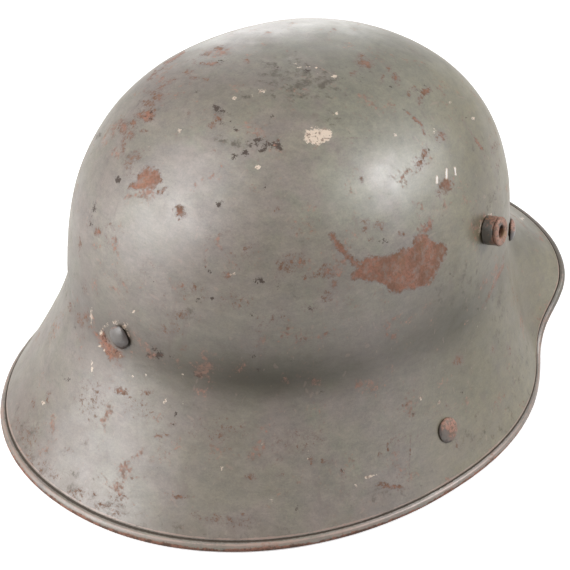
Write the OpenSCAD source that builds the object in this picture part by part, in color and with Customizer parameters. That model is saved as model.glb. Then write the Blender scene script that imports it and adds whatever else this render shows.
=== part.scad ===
// Steel helmet: pressed shell with a flared neck guard, a raised visor, a rolled hem
// and hollow vent lugs, with its riveted liner and its chinstrap.
// Z is up, the visor points to -Y and the wearer's right is -X. The helmet stands on z = 0
// and the origin is below the middle of its outline. Angles round the helmet run from
// 0 at the back over 90 at the wearer's right to 180 at the visor.

/* [Dome] */
// Height over the crown
shell_height = 172.8; // [166:0.2:180]
// Thickness of the pressed sheet
sheet = 1.2; // [1:0.1:1.4]
// Half width of the dome at the crease
dome_half_width = 93.5; // [92:0.5:97]
// Dome from its widest line to the back
dome_rear = 105; // [102:0.5:108]
// Dome from its widest line to the front
dome_front = 116.5; // [113:0.5:119]
// How full the dome's profile is, 2 is an ellipse
crown_power = 2.5; // [2.3:0.05:2.7]
// How square the plan is, 2 is an ellipse
plan_power = 2.1; // [2:0.02:2.16]

/* [Crease] */
// Height of the crease at the back
crease_rear_z = 70; // [66:0.5:74]
// Height of the crease at the sides
crease_side_z = 67; // [64:0.5:71]
// Height of the crease over the visor
crease_front_z = 73; // [70:0.5:78]
// Angle where the crease starts to rise to the visor
front_rise_start = 95; // [90:1:105]
// Angle where that rise ends
front_rise_end = 150; // [140:1:165]

/* [Skirt and visor] */
// Half width of the neck guard at its edge
guard_half_width = 118.5; // [115:0.5:122]
// Neck guard from the widest line to the back edge
guard_rear = 144; // [140:0.5:148]
// Length that the guard's curve would have to the front
guard_front = 132; // [128:0.5:136]
// Half width of the visor's own curve
visor_half_width = 125; // [121:0.5:129]
// Visor from the widest line to its front edge
visor_front = 159; // [153:0.5:163]
// Height of the visor's edge over the guard's edge
visor_rise = 34; // [30:0.5:40]
// Angle at which the edge starts to rise to the visor
notch_start = 137; // [134:0.5:142]
// Angle over which it rises
notch_sweep = 8; // [5:0.5:9]
// Straight drop below the crease, as a share of the skirt
flare_shoulder = 0.2; // [0.1:0.05:0.3]
// How far the flare reaches before its last part
flare_spread = 0.46; // [0.4:0.02:0.56]
// How steep the skirt ends
flare_lip = 0.3; // [0.2:0.05:0.4]

/* [Hem] */
// Width of the folded hem
hem_width = 5; // [4.4:0.2:6]
// Thickness of the folded hem
hem_thick = 3.2; // [2.8:0.1:3.6]
// Step of the hem above the sheet
hem_rise = 0.5; // [0.2:0.1:0.7]

/* [Vent lugs] */
// Angle of the lugs round the helmet
lug_angle = 111; // [105:1:116]
// Height of the lugs
lug_z = 103; // [98:1:110]
// Diameter of the barrel
lug_d = 13.2; // [12:0.2:14]
// Length that stands out of the dome
lug_length = 7.6; // [6:0.2:12]
// Height of the lip at the lug's end
lug_lip = 1.4; // [1.1:0.1:2]
// Rise of the lip's face to the vent
lug_crown = 0.6; // [0.3:0.1:0.7]
// Width of the groove behind the lip
lug_groove = 0.5; // [0.3:0.1:0.8]
// Diameter of the vent
vent_d = 6; // [4:0.2:7]
// Diameter of the neck in the shell's hole
lug_neck_d = 9.6; // [9:0.2:10.4]
// Diameter of the flange inside the shell
lug_flange_d = 12.4; // [11.6:0.2:14]
// Thickness of that flange
lug_flange = 1.2; // [1:0.1:1.6]

/* [Liner rivets] */
// Height of the rear liner rivet
rear_rivet_z = 73.5; // [72.5:0.5:77]
// Angle of the front liner rivets
front_rivet_angle = 134.5; // [132:0.5:138]
// Diameter of the domed heads
rivet_head_d = 11; // [10:0.2:12]
// Height of the domed heads
rivet_head_h = 3.2; // [2.4:0.1:4]
// Diameter of the split shanks
rivet_shank_d = 4.8; // [4:0.1:5.2]
// Length of each bent prong from the axis
prong_length = 9; // [8:0.5:11]
// Thickness of a prong
prong_thick = 1; // [0.8:0.1:1.2]
// Diameter of the washers under the prongs
washer_d = 13; // [12:0.5:15]
// Thickness of the washers
washer_thick = 1; // [0.8:0.1:1.2]

/* [Liner band] */
// Width of the band
band_width = 25; // [22:0.5:28]
// Thickness of the band
band_sheet = 0.8; // [0.6:0.1:1]
// Space between the shell and the band
band_gap = 2; // [1.8:0.1:3]
// Tilt of the band, up to the front
band_tilt = 1; // [0.5:0.5:2]
// Diameter of the lap joint's rivet heads
lap_rivet_d = 4.4; // [4:0.2:5]

/* [Pads] */
// Thickness of the leather
leather = 1.8; // [1.4:0.1:2.2]
// Space between the shell's crown and the one that the fingers point to
crown_space = 20.8; // [17:0.2:27]
// Angle from the crown's axis at which the fingers end
pad_tip_angle = 27; // [24:1:32]
// Half the angle that the front pad spans
front_pad_span = 37; // [34:0.5:39]
// Half the angle that each rear pad spans
rear_pad_span = 56.5; // [52:0.5:57]
// Share of its width that a finger loses to its tip
finger_taper = 0.24; // [0.15:0.01:0.35]
// Diameter of the lace holes in the tips
lace_hole_d = 4; // [3:0.2:5]
// Diameter of the pads' rivet heads
pad_rivet_d = 6.6; // [6:0.2:8]

/* [Cushions] */
// Thickness of the cushions at their crown
cushion_thick = 9; // [6:0.5:10]
// How far the cushions' sides are drawn in
cushion_pinch = 0.09; // [0.04:0.01:0.14]

/* [Chinstrap fittings] */
// Angle of the chinstrap lugs round the helmet
chin_angle = 88.2; // [86:0.2:94]
// Height of the chinstrap rivets' heads
chin_rivet_z = 24.8; // [23:0.2:28]
// Diameter of the rivet heads
chin_head_d = 11.6; // [10.6:0.2:13]
// Height of the rivet heads
chin_head_h = 2.6; // [2.2:0.1:3.2]
// Diameter of the rivet shanks
chin_shank_d = 5; // [4:0.1:6]
// Diameter of the lug's foot
foot_d = 16; // [14:0.5:18]
// Thickness of the lug's foot
foot_thick = 3.4; // [3:0.1:4]
// Diameter of the posts
post_d = 5.6; // [5:0.1:6.2]
// Length of the posts' cross heads
post_head_l = 10; // [8.6:0.2:11]
// Width of the posts' cross heads
post_head_w = 3.4; // [3:0.1:4]
// Thickness of the posts' cross heads
post_head_t = 1.8; // [1.4:0.1:2.4]

/* [Chinstrap] */
// Width of the strap
strap_width = 15; // [13:0.5:16]
// Thickness of the strap
strap_thick = 1.8; // [1.4:0.1:2]
// Reach of the strap from its lugs
strap_reach = 108; // [100:1:110]
// Distance from the inner end of the lug's foot to the middle of the clip
clip_inset = 8; // [7:0.2:10]
// Thickness of the clips
clip_thick = 1.2; // [1:0.1:1.4]
// Radius of the clip's round eye
clip_eye_r = 8; // [7.6:0.2:9]
// Distance from the post to the strap's loop in the clip
loop_y = 18.4; // [18:0.2:21]
// Place of the buckles along the strap, as an angle
buckle_turn = 20; // [17:0.5:22]
// Length of the buckles
buckle_length = 14; // [12:0.5:15]
// Radius of the buckles' bars
buckle_bar_r = 0.8; // [0.6:0.05:0.9]

/* [Hidden] */

seat = 0.3;              // gap between a fitting and the curved sheet it is pressed on
hole_gap = 0.25;         // radial gap of a shank in its hole
pivot_gap = 0.1;         // radial gap of a clip on its post
widest_y = (visor_front - guard_rear) / 2;
hem_reach = 2.1;         // reach of the hem beyond its centre line
hem_seat = hem_thick / 2 - hem_rise;
round_fn = 48;
flange_dish = 0.4;       // how far a lug's inner flange is dished to follow the dome

rear_pad_angle = 65;
slot_half_angle = 1.1;
pad_base = 0.2;          // share of a pad that stands upright against the band
pad_upright = 9;         // height of that share

// Helpers
function smooth(x) = let (c = min(max(x, 0), 1)) c * c * (3 - 2 * c);
function mix(p, q, t) = p + (q - p) * t;
function unit(v) = v / norm(v);
function fold(a) = let (m = ((a % 360) + 360) % 360) m <= 180 ? m : 360 - m;
function oval(a, half_width, rear, front, power) =
    let (
        s = sin(a),
        c = cos(a),
        k = pow(pow(abs(s), power) + pow(abs(c), power), -1 / power)
    )
    [-half_width * k * s, (c > 0 ? rear : front) * k * c];

// Plan of the dome at the crease, drawn in by a depth
function dome_plan(a, depth = 0) =
    oval(a, dome_half_width - depth, dome_rear - depth, dome_front - depth, plan_power);

// Crease between the dome and the skirt
function crease_z(a) =
    crease_rear_z
    + (crease_side_z - crease_rear_z) * smooth(fold(a) / 90)
    + (crease_front_z - crease_side_z)
        * smooth((fold(a) - front_rise_start) / (front_rise_end - front_rise_start));

// Centre line of the hem: the guard's curve, which rises to the visor's curve at the notch
function notch(a) = smooth((fold(a) - notch_start) / notch_sweep);
function rim_plan(a) =
    mix(
        oval(a, guard_half_width - hem_reach, guard_rear - hem_reach,
             guard_front - hem_reach, plan_power),
        oval(a, visor_half_width - hem_reach, guard_rear - hem_reach,
             visor_front - hem_reach, 2),
        notch(a)
    );
function hem_drop(a) =
    let (slope = unit([flare_spread * norm(rim_plan(a) - dome_plan(a)), flare_lip * crease_z(a)]))
    norm([hem_width / 2 * slope.y, hem_thick / 2 * slope.x]);
function rim_z(a) = hem_drop(a) + visor_rise * notch(a);

// The pressed surface, from the crown at w = 0 over the crease at 1 to the hem at 2
function dome_point(a, t) =
    let (
        p = dome_plan(a),
        r = pow(sin(t), 2 / crown_power),
        h = pow(cos(t), 2 / crown_power)
    )
    [p.x * r, widest_y + p.y * r, mix(crease_z(a), shell_height, h)];
function skirt_point(a, v) =
    let (
        out = 3 * v * v * (1 - v) * (1 - flare_spread) + v * v * v,
        down = 3 * v * (1 - v) * (1 - v) * flare_shoulder
            + 3 * v * v * (1 - v) * (1 - flare_lip) + v * v * v,
        p = mix(dome_plan(a), rim_plan(a), out)
    )
    [p.x, widest_y + p.y, mix(crease_z(a), rim_z(a), down)];
function skin(a, w) = w <= 1 ? dome_point(a, 90 * w) : skirt_point(a, w - 1);
function around(a, w) = skin(a + 0.2, w) - skin(a - 0.2, w);
function downward(a, w) = skin(a, min(w + 0.002, 2)) - skin(a, max(w - 0.002, 0));
function normal(a, w) = w < 0.01 ? [0, 0, 1] : unit(cross(downward(a, w), around(a, w)));
function face(a, w, depth) =
    skin(a, w) + normal(a, w) * (hem_seat * smooth(w - 1) - depth);

// Where the surface has a given height
function w_at(a, z, low = 0, high = 2, steps = 24) =
    let (m = (low + high) / 2)
    steps == 0 ? m
    : skin(a, m).z > z ? w_at(a, z, m, high, steps - 1) : w_at(a, z, low, m, steps - 1);

// Puts children on the shell, with their +Z out of the sheet and z = 0 on its outer face
module on_shell(a, z) {
    w = w_at(a, z);
    n = normal(a, w);
    translate(face(a, w, 0)) rotate([0, acos(n.z), atan2(n.y, n.x)]) children();
}

// Shell
dome_rows = 12;
skirt_rows = 9;
hem_rows = 9;
skirt_end = 1.95;        // last row of the skirt before the hem
half_stations = concat(
    [for (i = [0 : 17]) (notch_start - 7) * i / 17],
    [for (i = [0 : 15]) notch_start - 2 + (notch_sweep + 4) * i / 15],
    [for (i = [1 : 5]) mix(notch_start + notch_sweep + 2, 180, i / 5)]
);
stations = concat(
    half_stations,
    [for (i = [len(half_stations) - 2 : -1 : 1]) 360 - half_stations[i]]
);
skirt_ws = [for (j = [1 : skirt_rows]) 1 + (skirt_end - 1) * j / skirt_rows];
dome_ws = [for (i = [1 : dome_rows]) i / dome_rows];
hem_from = 180 - asin(2 * hem_seat / hem_thick);
hem_to = -180 - asin(2 * (hem_seat - sheet) / hem_thick);

function hem_point(a, turn) =
    let (n = normal(a, 2), t = unit(cross(around(a, 2), n)))
    skin(a, 2) + t * (hem_width / 2 * cos(turn)) + n * (hem_thick / 2 * sin(turn));
function sheet_row(w, depth) = [for (a = stations) face(a, w, depth)];
function reversed(list) = [for (i = [len(list) - 1 : -1 : 0]) list[i]];

shell_grid = concat(
    [for (w = concat(dome_ws, skirt_ws)) sheet_row(w, 0)],
    [for (k = [0 : hem_rows]) [for (a = stations) hem_point(a, mix(hem_from, hem_to, k / hem_rows))]],
    [for (w = reversed(concat(dome_ws, skirt_ws))) sheet_row(w, sheet)]
);

// Closed body of rings that shrink to a point at both ends
module ringed_body(grid, first, last) {
    rows = len(grid);
    cols = len(grid[0]);
    end = 1 + rows * cols;
    function at(i, j) = 1 + i * cols + (j % cols);
    polyhedron(
        points = concat([first], [for (row = grid) each row], [last]),
        faces = concat(
            [for (j = [0 : cols - 1]) [0, at(0, j + 1), at(0, j)]],
            [for (i = [0 : rows - 2], j = [0 : cols - 1])
                each [[at(i, j), at(i, j + 1), at(i + 1, j + 1)], [at(i, j), at(i + 1, j + 1), at(i + 1, j)]]],
            [for (j = [0 : cols - 1]) [end, at(rows - 1, j), at(rows - 1, j + 1)]]
        ),
        convexity = 6
    );
}

module through_hole(diameter) {
    translate([0, 0, -10]) cylinder(d = diameter + 2 * hole_gap, h = 20, $fn = round_fn);
}

module shell() {
    color("#6f7267")
    difference() {
        ringed_body(shell_grid, [0, widest_y, shell_height], [0, widest_y, shell_height - sheet]);
        for (side = [1, -1]) {
            on_shell(side * lug_angle, lug_z) through_hole(lug_neck_d);
            on_shell(side * chin_angle, chin_rivet_z) through_hole(chin_shank_d);
            on_shell(side * front_rivet_angle, liner_z(front_rivet_angle)) through_hole(rivet_shank_d);
        }
        on_shell(0, liner_z(0)) through_hole(rivet_shank_d);
    }
}

// Vent lug: barrel outside, neck in the hole, flange swaged over inside
module vent_lug(side) {
    inside = -sheet - 2 * seat;
    lip_from = lug_length - lug_lip;
    lip_round = (lug_lip - lug_crown) / 2;
    mouth_edge = 0.5;
    color("#4d5148")
    on_shell(side * lug_angle, lug_z)
    rotate_extrude($fn = round_fn)
    polygon([
        [vent_d / 2, inside - flange_dish - lug_flange],
        [lug_flange_d / 2 - 0.5, inside - flange_dish - lug_flange],
        [lug_flange_d / 2, inside - flange_dish - lug_flange / 2],
        [lug_flange_d / 2, inside - flange_dish],
        [lug_neck_d / 2, inside],
        [lug_neck_d / 2, seat],
        [lug_d / 2, seat],
        [lug_d / 2, lip_from - lug_groove],
        [lug_d / 2 - lip_round, lip_from - lug_groove / 2],
        for (t = [-90 : 30 : 60])
            [lug_d / 2 - lip_round * (1 - cos(t)), lip_from + lip_round * (1 + sin(t))],
        [vent_d / 2 + mouth_edge, lug_length],
        [vent_d / 2, lug_length - mouth_edge]
    ]);
}

// Liner rivets: domed heads with a split shank, whose prongs are bent up and down
function liner_z(a) = rear_rivet_z + (dome_rear - dome_plan(a).y) * tan(band_tilt);
band_out = sheet + band_gap;
band_in = band_out + band_sheet;
washer_in = band_in + seat + 0.1 + washer_thick;
prong_out = washer_in + 0.1;

module domed_head(diameter, height) {
    rotate_extrude($fn = round_fn)
    polygon(concat(
        [[0, seat], [diameter / 2, seat]],
        [for (t = [6 : 12 : 90]) [diameter / 2 * cos(t), seat + 0.4 + (height - 0.4 - seat) * sin(t)]],
        [[0, height]]
    ));
}

module liner_rivet(a) {
    color("#3d3b38")
    on_shell(a, liner_z(a)) {
        domed_head(rivet_head_d, rivet_head_h);
        difference() {
            translate([0, 0, -prong_out - prong_thick])
            cylinder(d = rivet_shank_d, h = prong_out + prong_thick + seat + 0.1, $fn = round_fn);
            translate([-0.2, -rivet_shank_d, -prong_out - prong_thick - 1])
            cube([0.4, 2 * rivet_shank_d, 1 + prong_thick + prong_out - sheet]);
        }
        for (side = [1, -1])
            translate([side > 0 ? 0.2 : -prong_length, -rivet_shank_d * 0.4, -prong_out - prong_thick])
            cube([prong_length - 0.2, rivet_shank_d * 0.8, prong_thick]);
    }
}

module liner_washer(a) {
    color("#57534b")
    on_shell(a, liner_z(a))
    translate([0, 0, -washer_in])
    difference() {
        cylinder(d = washer_d, h = washer_thick, $fn = round_fn);
        translate([0, 0, -1]) cylinder(d = rivet_shank_d + 2 * hole_gap, h = washer_thick + 2, $fn = round_fn);
    }
}

// Chinstrap rivet and the lug inside it: a foot along the rivet and a post along X
foot_floor = 2.3;        // solid part of the foot, between the rivet's bore and the post
shank_end = sheet + seat + foot_thick - foot_floor - 0.1;

module chinstrap_rivet(side) {
    color("#5a4a42")
    on_shell(side * chin_angle, chin_rivet_z) {
        domed_head(chin_head_d, chin_head_h);
        translate([0, 0, -shank_end])
        cylinder(d = chin_shank_d, h = shank_end + seat + 0.1, $fn = round_fn);
    }
}

chin_w = w_at(chin_angle, chin_rivet_z);
foot_end = face(chin_angle, chin_w, sheet + seat + foot_thick);
post_y = foot_end.y;
post_z = foot_end.z;
clip_x = abs(foot_end.x) - clip_inset;
post_end = clip_x - clip_thick / 2 - 1;

module chinstrap_lug(side) {
    color("#4a4843") {
        on_shell(side * chin_angle, chin_rivet_z)
        translate([0, 0, -sheet - seat - foot_thick])
        difference() {
            cylinder(d = foot_d, h = foot_thick, $fn = round_fn);
            translate([0, 0, foot_floor])
            cylinder(d = chin_shank_d + 2 * hole_gap, h = foot_thick, $fn = round_fn);
        }
        translate([-side * (post_end - 0.5), post_y, post_z])
        rotate([0, -side * 90, 0])
        cylinder(d = post_d, h = abs(foot_end.x) - post_end + 1.4, $fn = round_fn);
        translate([-side * (post_end - post_head_t / 2), post_y, post_z])
        rotate([0, 90, 0])
        post_head();
    }
}

module post_head() {
    middle = post_head_l - post_head_w;
    translate([-middle / 2, -post_head_w / 2, -post_head_t / 2]) cube([middle, post_head_w, post_head_t]);
    for (end = [-1, 1])
        translate([end * middle / 2, 0, 0])
        cylinder(d = post_head_w, h = post_head_t, center = true, $fn = round_fn);
    cylinder(d = post_d, h = post_head_t, center = true, $fn = round_fn);
}

// Liner band: an upright oval ring, cut by two planes that rise to the front
lap_angle = -6.2;
lap_span = 1.6;
lap_rivet_rise = 7;

module band_ring(out_depth, in_depth, from, to) {
    steps = 72;
    turns = [for (i = [0 : steps]) mix(from, to, i / steps)];
    translate([0, widest_y, rear_rivet_z - band_width])
    linear_extrude(2 * band_width + 20)
    polygon(concat(
        [for (a = turns) dome_plan(a, out_depth)],
        [for (a = reversed(turns)) dome_plan(a, in_depth)]
    ));
}

module on_band(a, z) {
    p = dome_plan(a, band_in);
    tangent = unit(dome_plan(a + 0.2, band_in) - dome_plan(a - 0.2, band_in));
    translate([p.x, widest_y + p.y, z]) rotate([0, 90, atan2(-tangent.x, tangent.y)]) children();
}

module band_slab() {
    translate([0, widest_y + dome_rear, rear_rivet_z])
    rotate([-band_tilt, 0, 0])
    cube([4 * dome_half_width, 4 * dome_front, band_width], center = true);
}

module liner_band() {
    color("#5c5a50")
    difference() {
        intersection() {
            union() {
                band_ring(band_out, band_in, 0, 180);
                band_ring(band_out, band_in, 180, 360);
                band_ring(band_in - 0.1, band_in + band_sheet, lap_angle - lap_span, lap_angle + lap_span);
            }
            band_slab();
        }
        for (a = [0, front_rivet_angle, -front_rivet_angle])
            on_shell(a, liner_z(a)) through_hole(rivet_shank_d);
        for (a = pad_rivet_angles)
            on_band(a, pad_rivet_z(a)) through_hole(pad_shank_d);
        for (rise = [-lap_rivet_rise, lap_rivet_rise])
            on_band(lap_angle, liner_z(lap_angle) + rise) through_hole(lap_rivet_d / 2);
    }
}

// Rivet through the band and what lies on it, from the band's inner face, +Z outwards
module flat_rivet(head_d, shank_d, inside, tail) {
    head_h = 1.2;
    translate([0, 0, -inside - seat - head_h])
    cylinder(d1 = head_d * 0.6, d2 = head_d, h = head_h, $fn = round_fn);
    translate([0, 0, -inside - seat - 0.1])
    cylinder(d = shank_d, h = inside + seat + band_sheet + 0.3, $fn = round_fn);
    translate([0, 0, band_sheet + 0.1]) cylinder(d = shank_d * 1.6, h = tail, $fn = round_fn);
}

module band_rivets() {
    color("#6b6860")
    for (rise = [-lap_rivet_rise, lap_rivet_rise])
        on_band(lap_angle, liner_z(lap_angle) + rise)
        flat_rivet(lap_rivet_d, lap_rivet_d / 2, band_sheet, 0.6);
}

// Thick sheet between an outer and an inner grid of points, with a cut up one column
module thick_sheet(outer, inner, cut_col, cut_row) {
    rows = len(outer);
    cols = len(outer[0]);
    back = rows * cols;
    function at(i, j) = i * cols + j;
    function cell(i, j) =
        i >= 0 && i < rows - 1 && j >= 0 && j < cols - 1 && !(j == cut_col && i >= cut_row);
    function wall(p, q) = [[p, q, q + back], [p, q + back, p + back]];
    polyhedron(
        points = concat([for (row = outer) each row], [for (row = inner) each row]),
        faces = [for (i = [0 : rows - 2], j = [0 : cols - 2]) if (cell(i, j))
            let (a = at(i, j), b = at(i, j + 1), c = at(i + 1, j + 1), d = at(i + 1, j))
            each concat(
                [[a, d, c], [a, c, b], [a + back, c + back, d + back], [a + back, b + back, c + back]],
                cell(i - 1, j) ? [] : wall(a, b),
                cell(i + 1, j) ? [] : wall(c, d),
                cell(i, j - 1) ? [] : wall(d, a),
                cell(i, j + 1) ? [] : wall(b, c)
            )
        ],
        convexity = 6
    );
}

// Leather pads: an upright foot on the band and two fingers that lean in to the crown
pad_out = band_in + seat;
pad_roundness = 1.05;
finger_cols = 8;
pad_rows = 11;
cut_row = 3;

function pad_foot_z(a) = liner_z(a) - band_width / 2 + 1;
function pad_face(a, s, depth) =
    let (
        t = 90 - (90 - pad_tip_angle) * max(s - pad_base, 0) / (1 - pad_base),
        r = pow(sin(t), pad_roundness),
        foot = pad_foot_z(a),
        bend = foot + pad_upright,
        p = dome_plan(a, depth)
    )
    [
        p.x * r,
        widest_y + p.y * r,
        s < pad_base ? foot + pad_upright * s / pad_base
            : mix(bend, shell_height - crown_space + pad_out - depth, pow(cos(t), pad_roundness))
    ];
function finger_angle(centre, span, side, u, s) =
    let (
        half = (span - slot_half_angle) / 2,
        narrow = 1 - finger_taper * smooth((s - 0.25) / 0.75)
    )
    centre + side * (slot_half_angle + half) + u * half * narrow;
function tip_share(u, s) = s * (1 - 0.06 * pow(abs(u), 3) * smooth((s - 0.6) / 0.4));
function pad_grid(centre, span, depth) = [
    for (i = [0 : pad_rows]) [
        for (side = [-1, 1], j = [0 : finger_cols])
            let (u = 2 * j / finger_cols - 1, s = i / pad_rows)
            pad_face(finger_angle(centre, span, side, u, s), tip_share(u, s), depth)
    ]
];

pad_shank_d = 2.6;
pad_rivet_share = 0.1;
function pad_rivet_places(centre, span) =
    [for (k = [-0.8, 0, 0.8]) centre + k * span + (k == 0 ? span * 0.16 : 0)];
pad_rivet_angles = concat(
    pad_rivet_places(180, front_pad_span),
    pad_rivet_places(rear_pad_angle, rear_pad_span),
    [for (a = pad_rivet_places(rear_pad_angle, rear_pad_span)) -a]
);
function pad_rivet_z(a) = pad_foot_z(a) + pad_upright * pad_rivet_share / pad_base;

module leather_pad(centre, span) {
    color("#7a4f2e")
    difference() {
        thick_sheet(
            pad_grid(centre, span, pad_out),
            pad_grid(centre, span, pad_out + leather),
            finger_cols, cut_row
        );
        for (a = pad_rivet_angles)
            if (fold(a - centre) < span) on_band(a, pad_rivet_z(a)) through_hole(pad_shank_d);
        for (side = [-1, 1], u = [-0.4, 0.4])
            lace_hole(finger_angle(centre, span, side, u, lace_share), lace_share);
    }
}

lace_share = 0.93;
module lace_hole(a, s) {
    p = pad_face(a, s, pad_out);
    q = pad_face(a, s, pad_out + leather);
    up = pad_face(a, s + 0.02, pad_out) - pad_face(a, s - 0.02, pad_out);
    n = unit(cross(pad_face(a + 1, s, pad_out) - pad_face(a - 1, s, pad_out), up));
    translate((p + q) / 2)
    rotate([0, acos(n.z), atan2(n.y, n.x)])
    cylinder(d = lace_hole_d, h = 12, center = true, $fn = round_fn);
}

module pad_rivets() {
    color("#8d8779")
    for (a = pad_rivet_angles)
        on_band(a, pad_rivet_z(a)) flat_rivet(pad_rivet_d, pad_shank_d, seat + leather, 0.6);
}

// Cushions behind the fingers: crowned, with the sides drawn in between the corners
cushion_from = 0.45;
cushion_to = 0.82;
cushion_edge = 1;
cushion_steps = 12;
function cushion_point(centre, span, u, v, out) =
    let (
        side = u * (1 - cushion_pinch * (1 - v * v)),
        rise = v * (1 - cushion_pinch * (1 - u * u)),
        fat = pow((1 - pow(abs(u), 3)) * (1 - pow(abs(v), 3)), 0.6),
        depth = pad_out - 0.4 - (out ? cushion_edge + (cushion_thick - cushion_edge) * fat : 0)
    )
    pad_face(centre + side * span, mix(cushion_from, cushion_to, (1 + rise) / 2), depth);
function cushion_grid(centre, span, out) = [
    for (i = [0 : cushion_steps]) [
        for (j = [0 : cushion_steps])
            cushion_point(centre, span, 2 * j / cushion_steps - 1, 2 * i / cushion_steps - 1, out)
    ]
];

module cushion(centre, span) {
    color("#b8ab8c")
    thick_sheet(cushion_grid(centre, span, true), cushion_grid(centre, span, false), -1, 0);
}
front_cushion_span = front_pad_span * 0.72;
rear_cushion_span = rear_pad_span * 0.6;

// Chinstrap, drawn in its own plane: X across, Y along its reach, Z across its width
loop_r = clip_thick / 2 + seat + strap_thick / 2;
rest_lift = 0.4;
rest_dip = asin((post_z - strap_width / 2 - rest_lift) / strap_reach);
strap_power = 2.1;

function strap_curve(t) = [
    -(clip_x - loop_r) * sign(cos(t)) * pow(abs(cos(t)), 2 / strap_power),
    loop_y + (strap_reach - loop_y) * pow(sin(t), 2 / strap_power)
];
function strap_out(t) =
    let (d = strap_curve(min(t + 1, 180)) - strap_curve(max(t - 1, 0))) unit([-d.y, d.x]);
function doubled(t) =
    strap_curve(t) + strap_out(t) * mix(2 * loop_r, strap_thick + seat, smooth(fold(2 * t) / 2 / 12));
function ribbon(line, thick) =
    let (
        last = len(line) - 1,
        along = [for (i = [0 : last]) unit(line[min(i + 1, last)] - line[max(i - 1, 0)])],
        across = [for (d = along) [-d.y, d.x] * thick / 2]
    )
    concat([for (i = [0 : last]) line[i] + across[i]], [for (i = [last : -1 : 0]) line[i] - across[i]]);

strap_line = concat(
    [for (i = [8 : -1 : 1]) doubled((buckle_turn + 4) * i / 8)],
    [for (t = [0 : 20 : 180]) [-clip_x - loop_r * cos(t), loop_y - loop_r * sin(t)]],
    [for (t = [4 : 4 : 176]) strap_curve(t)],
    [for (t = [0 : 20 : 180]) [clip_x - loop_r * cos(t), loop_y - loop_r * sin(t)]],
    [for (i = [1 : 8]) doubled(180 - (buckle_turn + 4) * i / 8)]
);

module in_strap_plane() {
    translate([0, post_y, post_z]) rotate([-rest_dip, 0, 0]) children();
}

module chin_strap() {
    color("#6b4427")
    in_strap_plane()
    translate([0, 0, -strap_width / 2])
    linear_extrude(strap_width)
    polygon(ribbon(strap_line, strap_thick));
}

// Clip: a round eye on the post, and a slot that the strap is looped through
module strap_clip(side) {
    slot_from = loop_y - loop_r - strap_thick / 2 - seat;
    slot_to = loop_y - seat;
    bar = 3.2;               // width of the bar that the strap is looped round
    cheek = 2;               // width of the clip beside the slot
    taper = 20;              // angle at which the clip narrows to its eye
    half = strap_width / 2 + seat;
    color("#55534c")
    in_strap_plane()
    translate([-side * clip_x, 0, 0])
    rotate([0, 90, 0])
    difference() {
        union() {
            cylinder(r = clip_eye_r, h = clip_thick, center = true, $fn = round_fn);
            translate([-half - cheek, 0, -clip_thick / 2])
            cube([2 * (half + cheek), slot_to + bar, clip_thick]);
        }
        cylinder(d = post_d + 2 * pivot_gap, h = 4, center = true, $fn = round_fn);
        rotate([0, 0, 45])
        cube([post_head_l + 0.8, post_head_w + 0.6, 4], center = true);
        translate([-half, slot_from, -2]) cube([2 * half, slot_to - slot_from, 4]);
        for (end = [-1, 1])
            translate([end * (half + cheek), -clip_eye_r, 0])
            rotate([0, 0, end * taper])
            cube([2 * cheek, 2 * slot_from, 4], center = true);
    }
}

// Buckle: two bars inside the strap, one outside it, and a rail along each edge
module buckle(side) {
    t = side > 0 ? buckle_turn : 180 - buckle_turn;
    p = strap_curve(t);
    n = strap_out(t);
    inner_x = -strap_thick / 2 - seat - buckle_bar_r;
    outer_x = strap_thick * 1.5 + 2 * seat + buckle_bar_r;
    rail = 1.6;              // thickness of the rails along the strap's edges
    half = strap_width / 2 + seat;
    color("#6e6a60")
    in_strap_plane()
    translate([p.x, p.y, 0])
    rotate([0, 0, atan2(n.y, n.x)]) {
        for (y = [-1, 1])
            translate([inner_x, y * (buckle_length / 2 - buckle_bar_r), 0])
            cylinder(r = buckle_bar_r, h = 2 * half + rail, center = true, $fn = round_fn);
        translate([outer_x, 0, 0])
        cylinder(r = buckle_bar_r, h = 2 * half + rail, center = true, $fn = round_fn);
        for (z = [-1, 1])
            translate([inner_x - buckle_bar_r, -buckle_length / 2, z > 0 ? half : -half - rail])
            cube([outer_x - inner_x + 2 * buckle_bar_r, buckle_length, rail]);
    }
}

shell();
vent_lug(1);  // vent_lug_right
vent_lug(-1);  // vent_lug_left
liner_rivet(0);  // liner_rivet_rear
liner_rivet(front_rivet_angle);  // liner_rivet_right
liner_rivet(-front_rivet_angle);  // liner_rivet_left
liner_washer(0);  // liner_washer_rear
liner_washer(front_rivet_angle);  // liner_washer_right
liner_washer(-front_rivet_angle);  // liner_washer_left
chinstrap_rivet(1);  // chinstrap_rivet_right
chinstrap_rivet(-1);  // chinstrap_rivet_left
chinstrap_lug(1);  // chinstrap_lug_right
chinstrap_lug(-1);  // chinstrap_lug_left
liner_band();
band_rivets();
leather_pad(180, front_pad_span);  // pad_front
leather_pad(rear_pad_angle, rear_pad_span);  // pad_rear_right
leather_pad(-rear_pad_angle, rear_pad_span);  // pad_rear_left
pad_rivets();
cushion(180, front_cushion_span);  // cushion_front
cushion(rear_pad_angle, rear_cushion_span);  // cushion_rear_right
cushion(-rear_pad_angle, rear_cushion_span);  // cushion_rear_left
strap_clip(1);  // strap_clip_right
strap_clip(-1);  // strap_clip_left
chin_strap();
buckle(1);  // buckle_right
buckle(-1);  // buckle_left
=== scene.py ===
# Worn steel helmet: looks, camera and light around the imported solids.
# Lengths are millimetres in the shape functions and metres in Blender. Angles round the
# helmet run from 0 at the back over 90 at the wearer's right to 180 at the visor.
import math

import bmesh
import bpy
import numpy as np
from mathutils import Matrix, Vector


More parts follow.
